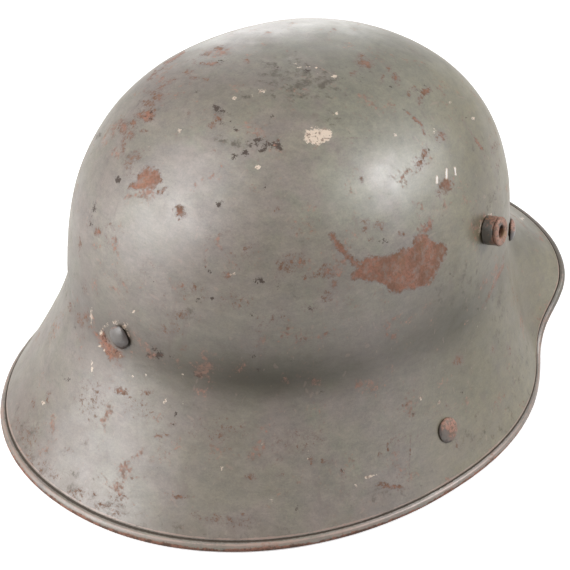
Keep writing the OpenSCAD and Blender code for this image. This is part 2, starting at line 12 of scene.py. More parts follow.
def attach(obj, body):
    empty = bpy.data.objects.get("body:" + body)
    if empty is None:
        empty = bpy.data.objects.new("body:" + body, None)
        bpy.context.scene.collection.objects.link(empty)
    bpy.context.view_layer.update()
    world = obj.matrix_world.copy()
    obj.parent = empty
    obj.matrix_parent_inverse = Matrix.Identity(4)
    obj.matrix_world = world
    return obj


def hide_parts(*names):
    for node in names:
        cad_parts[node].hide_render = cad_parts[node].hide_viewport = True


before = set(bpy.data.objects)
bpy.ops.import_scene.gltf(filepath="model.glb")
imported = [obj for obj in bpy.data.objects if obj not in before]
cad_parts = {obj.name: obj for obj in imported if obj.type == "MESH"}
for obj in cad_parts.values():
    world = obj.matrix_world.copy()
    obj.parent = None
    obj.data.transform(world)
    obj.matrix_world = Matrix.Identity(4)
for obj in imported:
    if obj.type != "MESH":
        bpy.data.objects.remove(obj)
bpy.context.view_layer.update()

MM = 0.001
IMAGE = 570          # side of the photograph in pixels

# Sizes of the shell, the same as in the part's source but for the visor, which is finer here
SHELL_HEIGHT, SHEET = 172.8, 1.2
DOME_HALF_WIDTH, DOME_REAR, DOME_FRONT = 93.5, 105, 116.5
CROWN_POWER, PLAN_POWER, VISOR_POWER = 2.5, 2.1, 2
CREASE_REAR_Z, CREASE_SIDE_Z, CREASE_FRONT_Z = 70, 67, 73
FRONT_RISE_START, FRONT_RISE_END = 95, 150
GUARD_HALF_WIDTH, GUARD_REAR, GUARD_FRONT = 118.5, 144, 132
VISOR_HALF_WIDTH, VISOR_FRONT, VISOR_RISE = 125, 159.5, 33
VISOR_EDGE, VISOR_EDGE_SWEEP = 141.4, 3.05     # degrees, where the rim swings out to the visor
VISOR_LIFT, VISOR_LIFT_SWEEP = 140.55, 6.9     # and where it rises
FLARE_SHOULDER, FLARE_SPREAD, FLARE_LIP = 0.2, 0.46, 0.3
HEM_WIDTH, HEM_THICK, HEM_RISE, HEM_REACH = 5, 3.2, 0.5, 2.1
HEM_SEAT = HEM_THICK / 2 - HEM_RISE
WIDEST_Y = 7.5

# Fittings
SEAT = 0.3
LUG_ANGLE, LUG_Z, LUG_NECK_D = 111, 103, 9.6
REAR_RIVET_Z, FRONT_RIVET_ANGLE = 73.5, 134.5
CHIN_ANGLE, CHIN_RIVET_Z = 88.2, 24.8
BAND_GAP, BAND_SHEET, BAND_TILT = 2, 0.8, 1
WASHER_STACK = 1.2                             # washer with its play on both sides
RIVET_HEAD_D, RIVET_HEAD_H, RIVET_EDGE = 11, 3.2, 0.75
PRONG_OUT = SHEET + BAND_GAP + BAND_SHEET + SEAT + WASHER_STACK
PRONG_LENGTH, PRONG_THICK, PRONG_HALF_WIDTH, PRONG_ROUND = 9, 1, 1.9, 0.35
CHIN_HEAD_D, CHIN_HEAD_H, CHIN_EDGE, CHIN_SHANK = 11.6, 2.6, 0.6, 2.5
POST_Y, POST_Z, CLIP_X = 11.35, 23.23, 94.0
STRAP_WIDTH, STRAP_THICK, STRAP_REACH, STRAP_POWER = 15, 1.8, 108, 2.1
STRAP_CLEARANCE = 0.4                          # between the lying strap and the ground
LOOP_Y, LOOP_R, BUCKLE_TURN = 18.4, 1.8, 20

# Camera that fits the photograph's outline: angles in degrees, lengths in millimetres
CAMERA_AZIMUTH, CAMERA_ELEVATION, CAMERA_ROLL = 222.45, 33.54, 1.63
CAMERA_DISTANCE, CAMERA_SHIFT_RIGHT, CAMERA_TARGET_Z = 1031.4, 0.65, 51.72
CAMERA_FOCAL_PIXELS = 2171.4

# Fine mesh of the shell
COLUMNS = 1080
SEEN_FROM, SEEN_TO, SEEN_SHARE = -50, 150, 0.68      # columns are closer on the photographed side
DOME_ROWS, SKIRT_ROWS, LAST_ROWS, HEM_ROWS = 290, 114, 12, 40
INNER_DOME_ROWS, INNER_SKIRT_ROWS = 50, 24
OUTER_START, INNER_START = 0.006, 0.02
LAST_FROM, SKIRT_END = 1.93, 1.972                   # rows lie closer beside the rolled rim
GROOVE_DEPTH, GROOVE_WIDTH = 0.40, 0.0060            # the width is a share of the skirt's height
DENTS_FADE_FROM, DENTS_FADE = 1.8, 0.15
BEAD_LIFT = 0.35                                     # swell of the rolled rim over its plain section
LIFT_SPAN, START_SPAN, END_SPAN = 40, 25, 60         # degrees round the roll over which it comes in
LUG_SIDES, RIVET_SIDES = 96, 84
LUG_ROOM, LUG_REACH = 0.2, 12

# Unevenness: shortest and longest wave in millimetres, their number and seed, then the height
LARGE_DENTS, LARGE_DENT_DEPTH = (30, 80, 14, 3), 0.12
SMALL_DENTS, SMALL_DENT_DEPTH = (9, 22, 18, 5), 0.025
RIM_WAVES, RIM_UNEVEN = (8, 30, 14, 9), 0.06
LUG_WAVES, LUG_UNEVEN = (3, 9, 12, 21), 0.04
RIVET_WAVES, RIVET_UNEVEN = (3, 8, 12, 33), (0.03, 0.03, 0.06)
CHIN_RIVET_WAVES, CHIN_RIVET_UNEVEN = (2.5, 8, 12, 41), (0.03, 0.03, 0.07)
PAD_WAVES, PAD_UNEVEN = (14, 40, 14), 0.16           # the seeds differ from pad to pad
PAD_GRAIN, PAD_GRAIN_HEIGHT = (4, 9, 14), 0.05
CUSHION_WAVES, CUSHION_UNEVEN = (7, 20, 14, 61), 0.12
STRAP_WAVES, STRAP_UNEVEN = (6, 25, 14, 71), 0.05


# Shape of the shell, as arrays of angles and heights
def smooth(x):
    c = np.clip(x, 0, 1)
    return c * c * (3 - 2 * c)


def bell(x, width):
    return np.exp(-(x / width) ** 2)


def mix(p, q, t):
    return p + (q - p) * t


def unit(v):
    return v / np.maximum(np.linalg.norm(v, axis=-1, keepdims=True), 1e-12)


def fold(a):
    m = np.mod(a, 360)
    return np.where(m <= 180, m, 360 - m)


def oval(a, half_width, rear, front, power):
    s, c = np.sin(np.radians(a)), np.cos(np.radians(a))
    k = (np.abs(s) ** power + np.abs(c) ** power) ** (-1 / power)
    return np.stack([-half_width * k * s, np.where(c > 0, rear, front) * k * c], -1)


def dome_plan(a):
    return oval(a, DOME_HALF_WIDTH, DOME_REAR, DOME_FRONT, PLAN_POWER)


def crease_z(a):
    rise = smooth((fold(a) - FRONT_RISE_START) / (FRONT_RISE_END - FRONT_RISE_START))
    return (CREASE_REAR_Z + (CREASE_SIDE_Z - CREASE_REAR_Z) * smooth(fold(a) / 90)
            + (CREASE_FRONT_Z - CREASE_SIDE_Z) * rise)


def step_at(a, middle, sweep):
    """Soft step from the guard to the visor."""
    return 0.5 * (1 + np.tanh((fold(a) - middle) / sweep))


def rim_plan(a):
    rear = GUARD_REAR - HEM_REACH
    guard = oval(a, GUARD_HALF_WIDTH - HEM_REACH, rear, GUARD_FRONT - HEM_REACH, PLAN_POWER)
    visor = oval(a, VISOR_HALF_WIDTH - HEM_REACH, rear, VISOR_FRONT - HEM_REACH, VISOR_POWER)
    return mix(guard, visor, step_at(a, VISOR_EDGE, VISOR_EDGE_SWEEP)[..., None])


def rim_z(a):
    out = FLARE_SPREAD * np.linalg.norm(rim_plan(a) - dome_plan(a), axis=-1)
    down = FLARE_LIP * crease_z(a)
    slope = np.hypot(out, down)
    lowest = np.hypot(HEM_WIDTH / 2 * down / slope, HEM_THICK / 2 * out / slope)
    return lowest + VISOR_RISE * step_at(a, VISOR_LIFT, VISOR_LIFT_SWEEP)


def skin(a, w):
    """Pressed surface from the crown at w = 0 over the crease at 1 to the hem at 2."""
    a, w = np.broadcast_arrays(np.asarray(a, float), np.asarray(w, float))
    t = np.radians(90 * np.clip(w, 0, 1))
    ring = np.sin(t) ** (2 / CROWN_POWER)
    height = np.clip(np.cos(t), 0, 1) ** (2 / CROWN_POWER)
    v = np.clip(w - 1, 0, 1)
    out = 3 * v * v * (1 - v) * (1 - FLARE_SPREAD) + v ** 3
    down = 3 * v * (1 - v) ** 2 * FLARE_SHOULDER + 3 * v * v * (1 - v) * (1 - FLARE_LIP) + v ** 3
    on_dome = w <= 1
    skirt = mix(dome_plan(a), rim_plan(a), out[..., None])
    plan = np.where(on_dome[..., None], dome_plan(a) * ring[..., None], skirt)
    z = np.where(on_dome, mix(crease_z(a), SHELL_HEIGHT, height), mix(crease_z(a), rim_z(a), down))
    return np.stack([plan[..., 0], plan[..., 1] + WIDEST_Y, z], -1)


def directions(a, w, turn=0.2, slide=0.002, pole=0.01):
    """Outward normal of the surface, and its direction down to the rim, from small steps."""
    around = skin(a + turn, w) - skin(a - turn, w)
    downward = skin(a, np.minimum(w + slide, 2)) - skin(a, np.maximum(w - slide, 0))
    n = unit(np.cross(downward, around))
    n = np.where((np.asarray(w) < pole)[..., None], np.array([0.0, 0.0, 1.0]), n)
    return n, unit(np.cross(around, n))


def face(a, w, depth=0.0):
    a, w = np.broadcast_arrays(np.asarray(a, float), np.asarray(w, float))
    n, _ = directions(a, w)
    return skin(a, w) + n * (HEM_SEAT * smooth(w - 1) - depth)[..., None]


def hem(a, turn):
    """Points of the plain rolled rim, by the angle round the helmet and the turn round the roll."""
    end = np.full(a.shape, 2.0)
    n, t = directions(a, end)
    across, up = np.cos(np.radians(turn)), np.sin(np.radians(turn))
    return skin(a, end) + t * (HEM_WIDTH / 2 * across)[..., None] + n * (HEM_THICK / 2 * up)[..., None]


def w_at(a, z, halvings=30):
    """Where the surface has a given height."""
    low, high = 0.0, 2.0
    for _ in range(halvings):
        m = (low + high) / 2
        if skin(a, m)[2] > z:
            low = m
        else:
            high = m
    return (low + high) / 2


def frame_matrix(right, up, out, origin):
    """Matrix from three axes and an origin in millimetres."""
    return Matrix([[right[i], up[i], out[i], origin[i] * MM] for i in range(3)] + [[0, 0, 0, 1]])


def seat_frame(a, z):
    """Matrix that puts +Z out of the sheet, with its origin on the outer face."""
    a = np.asarray(float(a))
    w = np.asarray(w_at(a, z))
    n, down = directions(a, w)
    return frame_matrix(np.cross(-down, n), -down, n, face(a, w))


# Camera and the way from a point to its pixel
def camera_frame():
    az, el, roll = (math.radians(x) for x in (CAMERA_AZIMUTH, CAMERA_ELEVATION, CAMERA_ROLL))
    back = np.array([math.sin(az) * math.cos(el), -math.cos(az) * math.cos(el), math.sin(el)])
    level = np.array([math.cos(az), math.sin(az), 0.0])
    above = np.cross(back, level)
    right = level * math.cos(roll) + above * math.sin(roll)
    up = -level * math.sin(roll) + above * math.cos(roll)
    eye = np.array([0, WIDEST_Y, CAMERA_TARGET_Z]) + right * CAMERA_SHIFT_RIGHT + back * CAMERA_DISTANCE
    return right, up, back, eye


RIGHT, UP, BACK, EYE = camera_frame()


def pixels(points):
    d = points - EYE
    scale = CAMERA_FOCAL_PIXELS / -(d @ BACK)
    return np.stack([IMAGE / 2 + scale * (d @ RIGHT), IMAGE / 2 - scale * (d @ UP)], -1)


def place_new(name, data):
    """New object for a mesh, lamp or camera, linked into the scene."""
    thing = bpy.data.objects.new(name, data)
    bpy.context.collection.objects.link(thing)
    return thing


def make_camera():
    data = bpy.data.cameras.new("camera")
    data.sensor_width = 36
    data.lens = CAMERA_FOCAL_PIXELS / IMAGE * data.sensor_width
    data.clip_start, data.clip_end = 0.05, 20
    camera = place_new("camera", data)
    camera.matrix_world = frame_matrix(RIGHT, UP, BACK, EYE)
    bpy.context.scene.camera = camera


# Meshes
def quad_grid(rows, cols):
    """Corner indices of the quads of a grid, whose columns close on themselves."""
    i, j = np.meshgrid(np.arange(rows - 1), np.arange(cols), indexing="ij")
    k = (j + 1) % cols
    return np.stack([i * cols + j, i * cols + k, (i + 1) * cols + k, (i + 1) * cols + j], -1).reshape(-1, 4)


def mesh_object(name, points, quads, triangles=()):
    """Mesh object from arrays of corners in metres and of corner indices."""
    mesh = bpy.data.meshes.new(name)
    mesh.vertices.add(len(points))
    mesh.vertices.foreach_set("co", np.asarray(points, np.float32).ravel())
    tris = np.asarray(triangles, np.int32).reshape(-1, 3)
    loops = np.concatenate([quads.ravel(), tris.ravel()]).astype(np.int32)
    starts = np.concatenate([np.arange(len(quads)) * 4, len(quads) * 4 + np.arange(len(tris)) * 3])
    mesh.loops.add(len(loops))
    mesh.loops.foreach_set("vertex_index", loops)
    mesh.polygons.add(len(starts))
    mesh.polygons.foreach_set("loop_start", starts.astype(np.int32))
    mesh.polygons.foreach_set("use_smooth", np.ones(len(starts), bool))
    mesh.update(calc_edges=True)
    mesh.validate()
    return place_new(name, mesh)


def add_field(piece, name, values):
    field = piece.data.attributes.new(name, "FLOAT", "POINT")
    field.data.foreach_set("value", np.asarray(values, np.float32))


# Wear and painted shade that the photograph shows, in its pixels. Shapes are outlines, lines are (x0, y0,
# x1, y1, half width, strength) and blots are (x, y, half width, half height, strength), with a tilt in
# degrees where they lean.
RUST_SHAPES = [
    [(360, 262), (368, 257), (392, 255), (403, 249), (413, 245), (415, 235), (424, 233), (429, 238),
     (444, 245), (447, 248), (444, 259), (439, 267), (435, 276), (427, 285), (416, 289), (406, 289),
     (398, 293), (391, 292), (386, 286), (375, 281), (367, 282), (359, 278), (350, 280), (354, 272),
     (361, 265)],
    [(423, 231), (426, 224), (432, 222), (431, 228), (426, 233)],
    [(145, 167), (153, 167), (159, 172), (162, 180), (158, 185), (152, 188), (144, 190), (132, 189),
     (129, 187), (136, 182), (138, 176), (142, 170)],
    [(157, 192), (166, 188), (164, 192), (160, 194)],
    [(98, 336), (103, 330), (106, 337), (110, 343), (115, 348), (122, 351), (123, 357), (117, 360),
     (110, 360), (104, 351), (99, 343)],
    [(143, 111), (155, 110), (154, 118), (147, 122), (142, 120)],
    [(115, 362), (118, 362), (122, 368), (117, 366)],
]
RUST_BLOTS = [
    (180, 212, 5, 5.5, 1), (98, 232, 3, 4, 0.9), (139, 115, 4.5, 3.5, 0.85), (159, 97, 4, 5, 0.95, 30),
    (154, 94, 6, 3, 0.7, 20), (151, 104, 5, 4, 0.7, -40), (144, 103, 3, 4, 0.5), (134, 123, 4, 5, 0.75, 30),
    (124, 127, 4.5, 6, 0.95), (131, 135, 3.5, 6, 0.75, 10), (144, 131, 4, 2, 0.65), (123, 144, 2.5, 7, 0.7),
    (134, 157, 9, 5, 0.62, -35), (145, 149, 6, 4, 0.5, -30), (128, 166, 6, 4, 0.5, 20),
    (130, 176, 6, 4, 0.5), (219, 48.5, 5, 2.2, 0.85, -12), (210, 52, 9, 2.6, 0.75, -22),
    (211, 63.5, 8, 2, 0.95), (194, 62, 3, 4, 0.65), (188, 72, 5, 2.6, 0.7, -15), (194, 78, 4, 1.8, 0.75),
    (206, 79, 3.5, 1.8, 0.8), (246, 61, 3.5, 2.5, 0.9), (189, 113, 3, 2.5, 0.6, 30),
    (211, 126, 3.5, 2.5, 0.75, -20), (219, 119, 5.5, 4, 0.72, 25), (166, 84, 8, 2.4, 0.6, -32),
    (366, 63, 8, 4, 0.95, 5), (361, 57, 4, 4, 0.7), (354, 73.5, 3.5, 2.5, 0.75), (389, 68, 3, 3.5, 0.65),
    (396, 78, 3, 7, 0.7, -15), (382, 79, 2, 5, 0.6, 10), (426, 91, 5, 3, 1, -15),
    (414, 89, 4, 2.6, 0.65, 25), (420, 98, 3, 6, 0.7, 10), (410, 94, 2.6, 3, 0.6),
    (441.5, 137, 4.5, 4.5, 0.95), (424.5, 153, 3.2, 5, 0.95), (419.5, 163, 4.5, 5, 0.9, -20),
    (446.5, 185, 6, 6.5, 1.1), (438.5, 192, 3, 4.5, 0.75), (362, 180, 3, 4.5, 0.5), (365, 221, 4, 3, 0.62),
    (366.5, 227, 3, 4.5, 0.7, 35), (380, 225.5, 6, 4.5, 0.75, 35), (371, 239, 3, 2.5, 0.6),
    (400, 234, 3.6, 2.6, 0.7), (334, 284, 3, 4.5, 0.85, 20), (327, 272, 7.5, 6.5, 0.78),
    (313, 276, 12, 4, 0.58), (292, 262, 13, 7, 0.6, -10), (280, 270, 5, 9, 0.58, 20), (296, 270, 8, 4, 0.5),
    (228, 275, 4.5, 3.5, 0.8, 15), (211, 283, 3, 2.4, 0.6), (187, 315, 4.5, 4, 0.62), (180, 315, 12, 5, 0.5),
    (205, 262, 2, 5, 0.6), (327, 297, 5, 5, 0.55), (310, 309, 7, 5, 0.5), (81, 321, 2.6, 6.5, 0.85, -15),
    (86, 315, 2.6, 6.5, 0.8), (70, 307, 2, 6, 0.6, -8), (79, 322, 2, 6, 0.75, -25),
    (121, 391, 6.5, 3.2, 0.85, 15), (128.5, 397, 3, 2.4, 0.6), (146, 392, 6.5, 3.5, 0.6, -12),
    (83, 338, 2.6, 3, 0.7), (48.5, 396, 2, 7, 0.8, 4), (34, 404, 2, 6, 0.55, -5), (84, 441, 4, 4, 0.62, -40),
    (69, 451, 4.5, 2.5, 0.65, 30), (17, 424, 4, 6, 0.55), (30, 436, 11, 14, 0.48),
    (26, 454, 9, 14, 0.5, -25), (30, 458, 4, 4, 0.6, -30), (50, 470, 14, 10, 0.44, 20),
    (80, 494, 14, 7, 0.5, 15), (103, 505, 8, 5, 0.6, 10), (116, 514, 7, 5, 0.6, 10),
    (118, 500, 12, 10, 0.42), (161, 436, 7.5, 1.8, 0.75), (172.5, 424.5, 3.5, 2.8, 0.6),
    (181, 497, 7, 1.8, 0.72), (158, 418, 8, 4, 0.42), (94, 494, 3.5, 2.5, 0.6), (311, 460.5, 2.8, 4, 0.7),
    (329, 461, 7.5, 2.6, 0.62), (251, 477, 5, 3, 0.62), (279.5, 458, 3, 3, 0.6), (280, 475, 4, 2.2, 0.55),
    (381.5, 455.5, 3, 2.6, 0.65), (392, 486.5, 12, 2.2, 0.95, 6), (382, 485, 4, 3, 0.6),
    (458, 360, 4.5, 5, 0.78, 20), (493, 350, 2, 4, 0.55), (508.5, 350, 2.4, 6, 0.5, -15),
    (493, 348, 4, 6, 0.42, 25), (216, 519, 20, 5, 0.42, 6), (240, 522, 26, 6, 0.38), (242.5, 514, 2, 2, 0.8),
    (195, 515, 6, 5, 0.45), (276.7, 209, 3, 2.8, 0.62), (410, 415, 6, 6, 0.36), (457, 445, 3.5, 4, 0.5, 20),
    (446, 405, 2.4, 2, 0.5), (497, 405, 2, 7, 0.4, -30), (494, 147, 5, 8, 0.45), (485, 282, 6, 9, 0.34),
    (497, 163, 4, 10, 0.36), (80, 245, 1.8, 9, 0.6), (85, 287, 2, 8, 0.5, -5), (176, 262, 3, 2, 0.4),
    (222, 234, 9, 2, 0.42, -20), (208, 237, 3, 2.5, 0.5), (206, 222, 4, 2, 0.45), (166, 297, 3, 6, 0.4),
    (184, 347, 6, 4, 0.38), (150, 268, 16, 10, 0.34), (190, 290, 22, 12, 0.36, 10), (236, 300, 20, 12, 0.33),
    (170, 330, 20, 10, 0.34), (270, 320, 24, 12, 0.33, -10), (245, 250, 20, 9, 0.32, -12),
    (300, 340, 20, 9, 0.3), (140, 410, 30, 14, 0.33, 20), (220, 430, 40, 18, 0.31), (300, 440, 40, 16, 0.31),
    (90, 400, 20, 30, 0.34), (400, 440, 30, 14, 0.3, -20), (110, 230, 8, 20, 0.32),
]
RUST_LINES = [
    (332, 235, 336, 243, 2.6, 1.1), (336, 243, 345, 253, 3, 1.15), (345, 253, 354, 262, 2.6, 1),
    (354, 262, 362, 268, 3, 1), (165, 64, 184, 52, 1.5, 0.95), (148, 80, 156, 72, 1.8, 0.75),
    (156, 72, 163, 68, 1.2, 0.5), (159, 89, 173, 80, 2.2, 0.7), (173, 80, 178, 79, 1.2, 0.5),
    (91, 327, 96, 334, 1.8, 0.8), (96, 334, 101, 341, 2.2, 0.85), (406, 112, 410, 114, 1.4, 0.7),
    (414, 118, 421, 124, 1.6, 0.85), (421, 124, 424, 134, 1.5, 0.85), (476, 140, 482, 149, 1.4, 0.85),
    (463, 120, 476, 140, 1, 0.42), (482, 149, 485, 158, 1, 0.45), (503, 265, 497, 278, 1.5, 0.95),
    (497, 278, 489, 297, 1.4, 0.75), (489, 297, 482, 308, 1, 0.5), (503, 255, 503, 266, 1, 0.6),
    (410.5, 434, 409, 486, 0.8, 0.5), (402, 405, 416, 404.5, 0.9, 0.6), (388, 434, 388, 452, 1, 0.42),
    (340, 138, 372, 138, 0.8, 0.42), (123, 138, 123, 152, 1.6, 0.7), (121, 154, 131, 168, 2, 0.45),
    (131, 130, 127, 137, 1.6, 0.7),
]
DARK_BLOTS = [
    (216, 108, 4, 2.4, 1.1, 40), (223.5, 111, 3, 2, 1.1, 20), (222, 122.5, 4, 2, 0.8, 30),
    (230.5, 121.5, 2.2, 2.2, 0.9), (236, 129.5, 2.4, 2.2, 1.05), (248, 141.5, 2.4, 2, 0.95),
    (250.5, 145, 2.2, 2, 0.95), (245, 152.5, 2.8, 2.6, 1.2), (234.5, 156.5, 3.2, 2.2, 1.1, -10),
    (258, 139.5, 4.5, 2, 1.05, -5), (256.5, 143.5, 2.2, 4, 0.9), (265, 147, 2.6, 4, 1.1),
    (262, 150.5, 4, 2, 1.05, 10), (271, 145, 5, 4, 0.72), (277.5, 145.5, 3, 4.5, 1), (280, 148, 3, 2, 0.85),
    (118, 180, 3, 2.6, 1.3, -40), (104, 340, 4, 9, 0.62, -35), (116, 352, 6, 5, 0.6, 20),
    (108, 351, 3, 6, 0.55, -20), (97.5, 136, 4, 2.4, 0.6, -50), (94, 209, 3, 6, 0.7, 10),
    (91, 224, 2, 3, 0.6), (219.5, 204, 3.6, 2.6, 0.8, -20), (265.5, 187.5, 3, 2.6, 0.7),
    (196, 92.5, 2.8, 1.8, 0.85), (222, 61, 4, 2.4, 0.8, -30), (278, 67, 3.4, 2, 0.85, 10),
    (308, 71, 3, 2, 0.8), (288, 85, 2.6, 1.8, 0.7), (271, 117, 2.6, 2.4, 0.6), (149.5, 355, 3, 2.4, 1.1),
    (153.5, 349.5, 3.4, 2.2, 1.05, 30), (158.5, 355, 3.4, 3.4, 1.1), (152, 355, 6, 3, 0.7),
    (172, 356.5, 3, 1.8, 0.65), (200, 374.5, 5, 2.2, 0.95, -8), (194, 373, 3, 2, 0.6),
    (259.5, 280.5, 5, 2.4, 0.95), (208.5, 271, 3.5, 1.6, 0.7, 50), (198, 300, 3.4, 2, 0.8, -35),
    (211.5, 299, 2.4, 2.4, 0.7), (278, 286, 2.2, 3.4, 0.75), (309.5, 309, 3.4, 3, 0.7),
    (253, 356, 4, 3, 0.85, 10), (258, 370.5, 2, 2.6, 0.9), (320.5, 392.5, 3.4, 1.6, 0.8, -10),
    (291, 360, 3.6, 1.4, 0.7, -15), (252, 315, 2, 4, 0.6), (384, 241.5, 4, 3, 0.72, 15),
    (342.5, 249.5, 2.4, 2, 0.5, 30), (429, 149, 1.8, 1.8, 0.85), (441, 142, 1.8, 1.4, 0.7),
    (404.5, 109.5, 1.8, 1.6, 0.7), (390, 86.5, 2, 1.8, 0.6), (349, 133, 1.8, 1.8, 0.6),
    (417, 90.5, 3, 1.6, 0.7, 20), (424, 86, 2.2, 1.8, 0.65), (67.5, 379, 2.6, 2.6, 0.85, -40),
    (176, 414, 2, 2, 0.8), (173, 425, 2.6, 2, 0.7), (94.5, 477.5, 2, 2, 0.7), (157, 466.5, 2, 1.8, 0.6),
    (253, 274, 2, 1.6, 0.4), (297, 509, 1.8, 2.6, 0.8), (279.5, 457.5, 2.2, 2, 0.75),
    (342, 471, 3, 2, 0.65, 20), (461.5, 393, 2, 2, 0.55), (404.5, 402, 2, 1.4, 0.5),
    (412, 413.5, 2, 1.8, 0.5), (477, 309, 2.4, 2, 0.7), (452.5, 274.5, 3, 2, 0.55),
    (155.5, 281.5, 2.4, 2.4, 0.5), (140.5, 292.5, 2, 2, 0.6), (104, 331, 2, 5, 0.5, -30),
    (146, 116, 2, 1.6, 0.9), (152, 112, 2, 1.8, 1), (150, 118, 2.4, 1.6, 0.9), (124, 123, 2.6, 2.4, 0.6),
    (494, 196, 4, 5, 0.45), (466, 118, 2, 1.6, 0.4), (451, 160, 1.6, 1.6, 0.4),
]
PALE_SHAPES = [
    [(304, 138), (307, 131), (315, 128), (330, 129), (331, 134), (327, 141), (317, 144), (308, 142)],
]
PALE_BLOTS = [
    (258, 167, 2, 1.8, 1.3), (234, 98, 1.8, 1.6, 0.9), (262, 91, 5, 2, 0.72, -15), (254, 95.5, 3, 1.2, 0.62),
    (265, 83, 1.4, 3, 0.5), (334, 75.5, 2.6, 2.2, 0.85), (336, 113.5, 4, 1.4, 0.75, -15),
    (328, 115.5, 2.4, 1.2, 0.6, -30), (300, 68, 3, 1.6, 0.5), (308, 66, 3, 1.4, 0.5, 20),
    (314, 72, 3, 1.4, 0.5), (296, 63.5, 3, 1.4, 0.5), (320, 74, 3, 1.4, 0.45), (316, 67.5, 2, 1.2, 0.5),
    (179.5, 131, 2, 2, 0.62), (395.5, 134.5, 1.6, 1.6, 0.9), (434.5, 131, 1.6, 2, 0.75),
    (450, 103, 1.4, 2, 0.6, 10), (473.5, 118.5, 1.6, 1.6, 0.7), (133.7, 311.5, 1.6, 1.6, 1),
    (43, 403, 1.8, 1.8, 1.1), (131.5, 376.5, 2, 1.4, 0.6), (145.7, 375, 1.6, 1.4, 0.7),
    (165, 401, 1.4, 2.6, 0.7, 10), (182.5, 402, 1.4, 2, 0.65), (233, 274, 3, 1.2, 0.8, -8),
    (107, 325.5, 5, 2.2, 0.62, -25), (115, 322.5, 6, 2.4, 0.72), (124, 326, 3, 4, 0.62, 35),
    (128.5, 334, 1.8, 5, 0.55, -22), (91.5, 316, 1.3, 7, 0.75, -4), (101, 333, 1.8, 2.4, 0.8),
    (100, 345.5, 1.8, 1.8, 0.8), (104, 350.5, 1.4, 2, 0.7), (92.3, 368, 1.2, 8, 0.6, -5),
    (120.5, 356, 1.2, 4, 0.55), (222, 468.5, 1.4, 2, 0.85), (262, 444, 1.4, 1.6, 0.7),
    (270.5, 499.5, 3, 2.4, 0.62), (263.5, 514, 1.4, 1.6, 0.6), (421, 398, 1.5, 2, 0.7),
    (439, 402, 1.6, 3, 0.5, 10), (366.5, 477.5, 2, 1.2, 1.1, -10), (356, 485.5, 1.6, 1.6, 0.7),
    (522.5, 218.5, 2.2, 1.8, 0.8), (148.5, 146, 1.4, 1.4, 0.5), (201, 300, 1.4, 1.4, 0.5),
    (183, 375, 1.4, 2, 0.6), (480.5, 229, 1.7, 9, 0.6, 8), (484, 217, 3, 1.6, 0.62, -40),
    (489, 214.5, 4, 1.5, 0.6, -8), (230, 279, 2, 1.2, 0.4),
]
PALE_LINES = [
    (437, 176.5, 437, 183, 0.7, 2), (446.5, 169, 446.5, 178, 0.75, 2), (455, 168, 455.5, 175, 0.7, 2),
    (367, 477, 377, 475, 0.9, 0.62), (480, 322, 476, 330, 0.7, 0.4), (308, 450, 308, 462, 0.7, 0.4),
]
GRIME_BLOTS = [
    (300, 80, 46, 20, 0.75, 6), (248, 92, 30, 16, 0.42, 20), (232, 144, 16, 7, 0.62, 15),
    (212, 112, 12, 9, 0.45), (330, 120, 12, 9, 0.5), (131, 158, 9, 8, 0.72, -35),
    (126, 128, 10, 12, 0.4, 10), (150, 103, 16, 14, 0.4), (483, 210, 22, 60, 0.45, -4),
    (470, 285, 18, 34, 0.5, 10), (443, 292, 8, 14, 0.5), (497, 310, 14, 40, 0.45, 10),
    (24, 440, 20, 34, 0.5, -8), (66, 480, 30, 16, 0.42, 24), (106, 508, 22, 10, 0.5, 14),
    (160, 530, 40, 10, 0.45, 8), (250, 540, 60, 10, 0.4, -4), (390, 490, 40, 10, 0.4, -22),
    (484, 432, 30, 18, 0.4, -40), (518, 376, 10, 44, 0.5, 8), (460, 442, 10, 8, 0.5),
    (74, 300, 10, 36, 0.4, -8), (152, 354, 14, 9, 0.5), (188, 313, 18, 8, 0.42), (290, 285, 18, 12, 0.4),
    (200, 300, 12, 8, 0.4),
]
TAN_BLOTS = [
    (26, 440, 26, 50, 0.9, -12), (80, 492, 50, 22, 0.9, 28), (150, 525, 60, 15, 0.8, 14),
    (250, 542, 90, 13, 0.7, -2), (380, 502, 70, 13, 0.55, -20), (470, 442, 50, 13, 0.55, -42),
    (140, 440, 90, 50, 0.45), (497, 230, 13, 80, 0.7, -4), (80, 300, 14, 60, 0.6, -6),
    (108, 342, 26, 24, 0.6), (210, 300, 70, 34, 0.35), (330, 300, 50, 40, 0.3), (486, 222, 12, 14, 0.7),
    (520, 330, 14, 70, 0.45, 8),
]
# Painted shade: the lower right of the dome and skirt, the right edge and the top of the crown are drawn
# darker.
SHADE_BLOTS = [
    (462, 322, 46, 60, 0.6), (440, 385, 60, 30, 0.2, -10), (500, 300, 16, 60, 0.4, 8),
    (525, 225, 24, 30, 0.75, 40), (250, 80, 90, 26, 0.3), (310, 46, 110, 22, 0.5),
    (478, 180, 18, 60, 0.35, -8),
]
MARKS = {
    "rust": (RUST_BLOTS, RUST_LINES, RUST_SHAPES), "dark": (DARK_BLOTS,),
    "pale": (PALE_BLOTS, PALE_LINES, PALE_SHAPES), "grime": (GRIME_BLOTS,), "tan": (TAN_BLOTS,),
    "shade": (SHADE_BLOTS,),
}
SOFT_MARKS = ("tan", "shade")        # these fade out at the edge of sight
OTHER_FIELDS = ("cool", "olive", "unseen", "groove", "line", "bead", "bead_side")

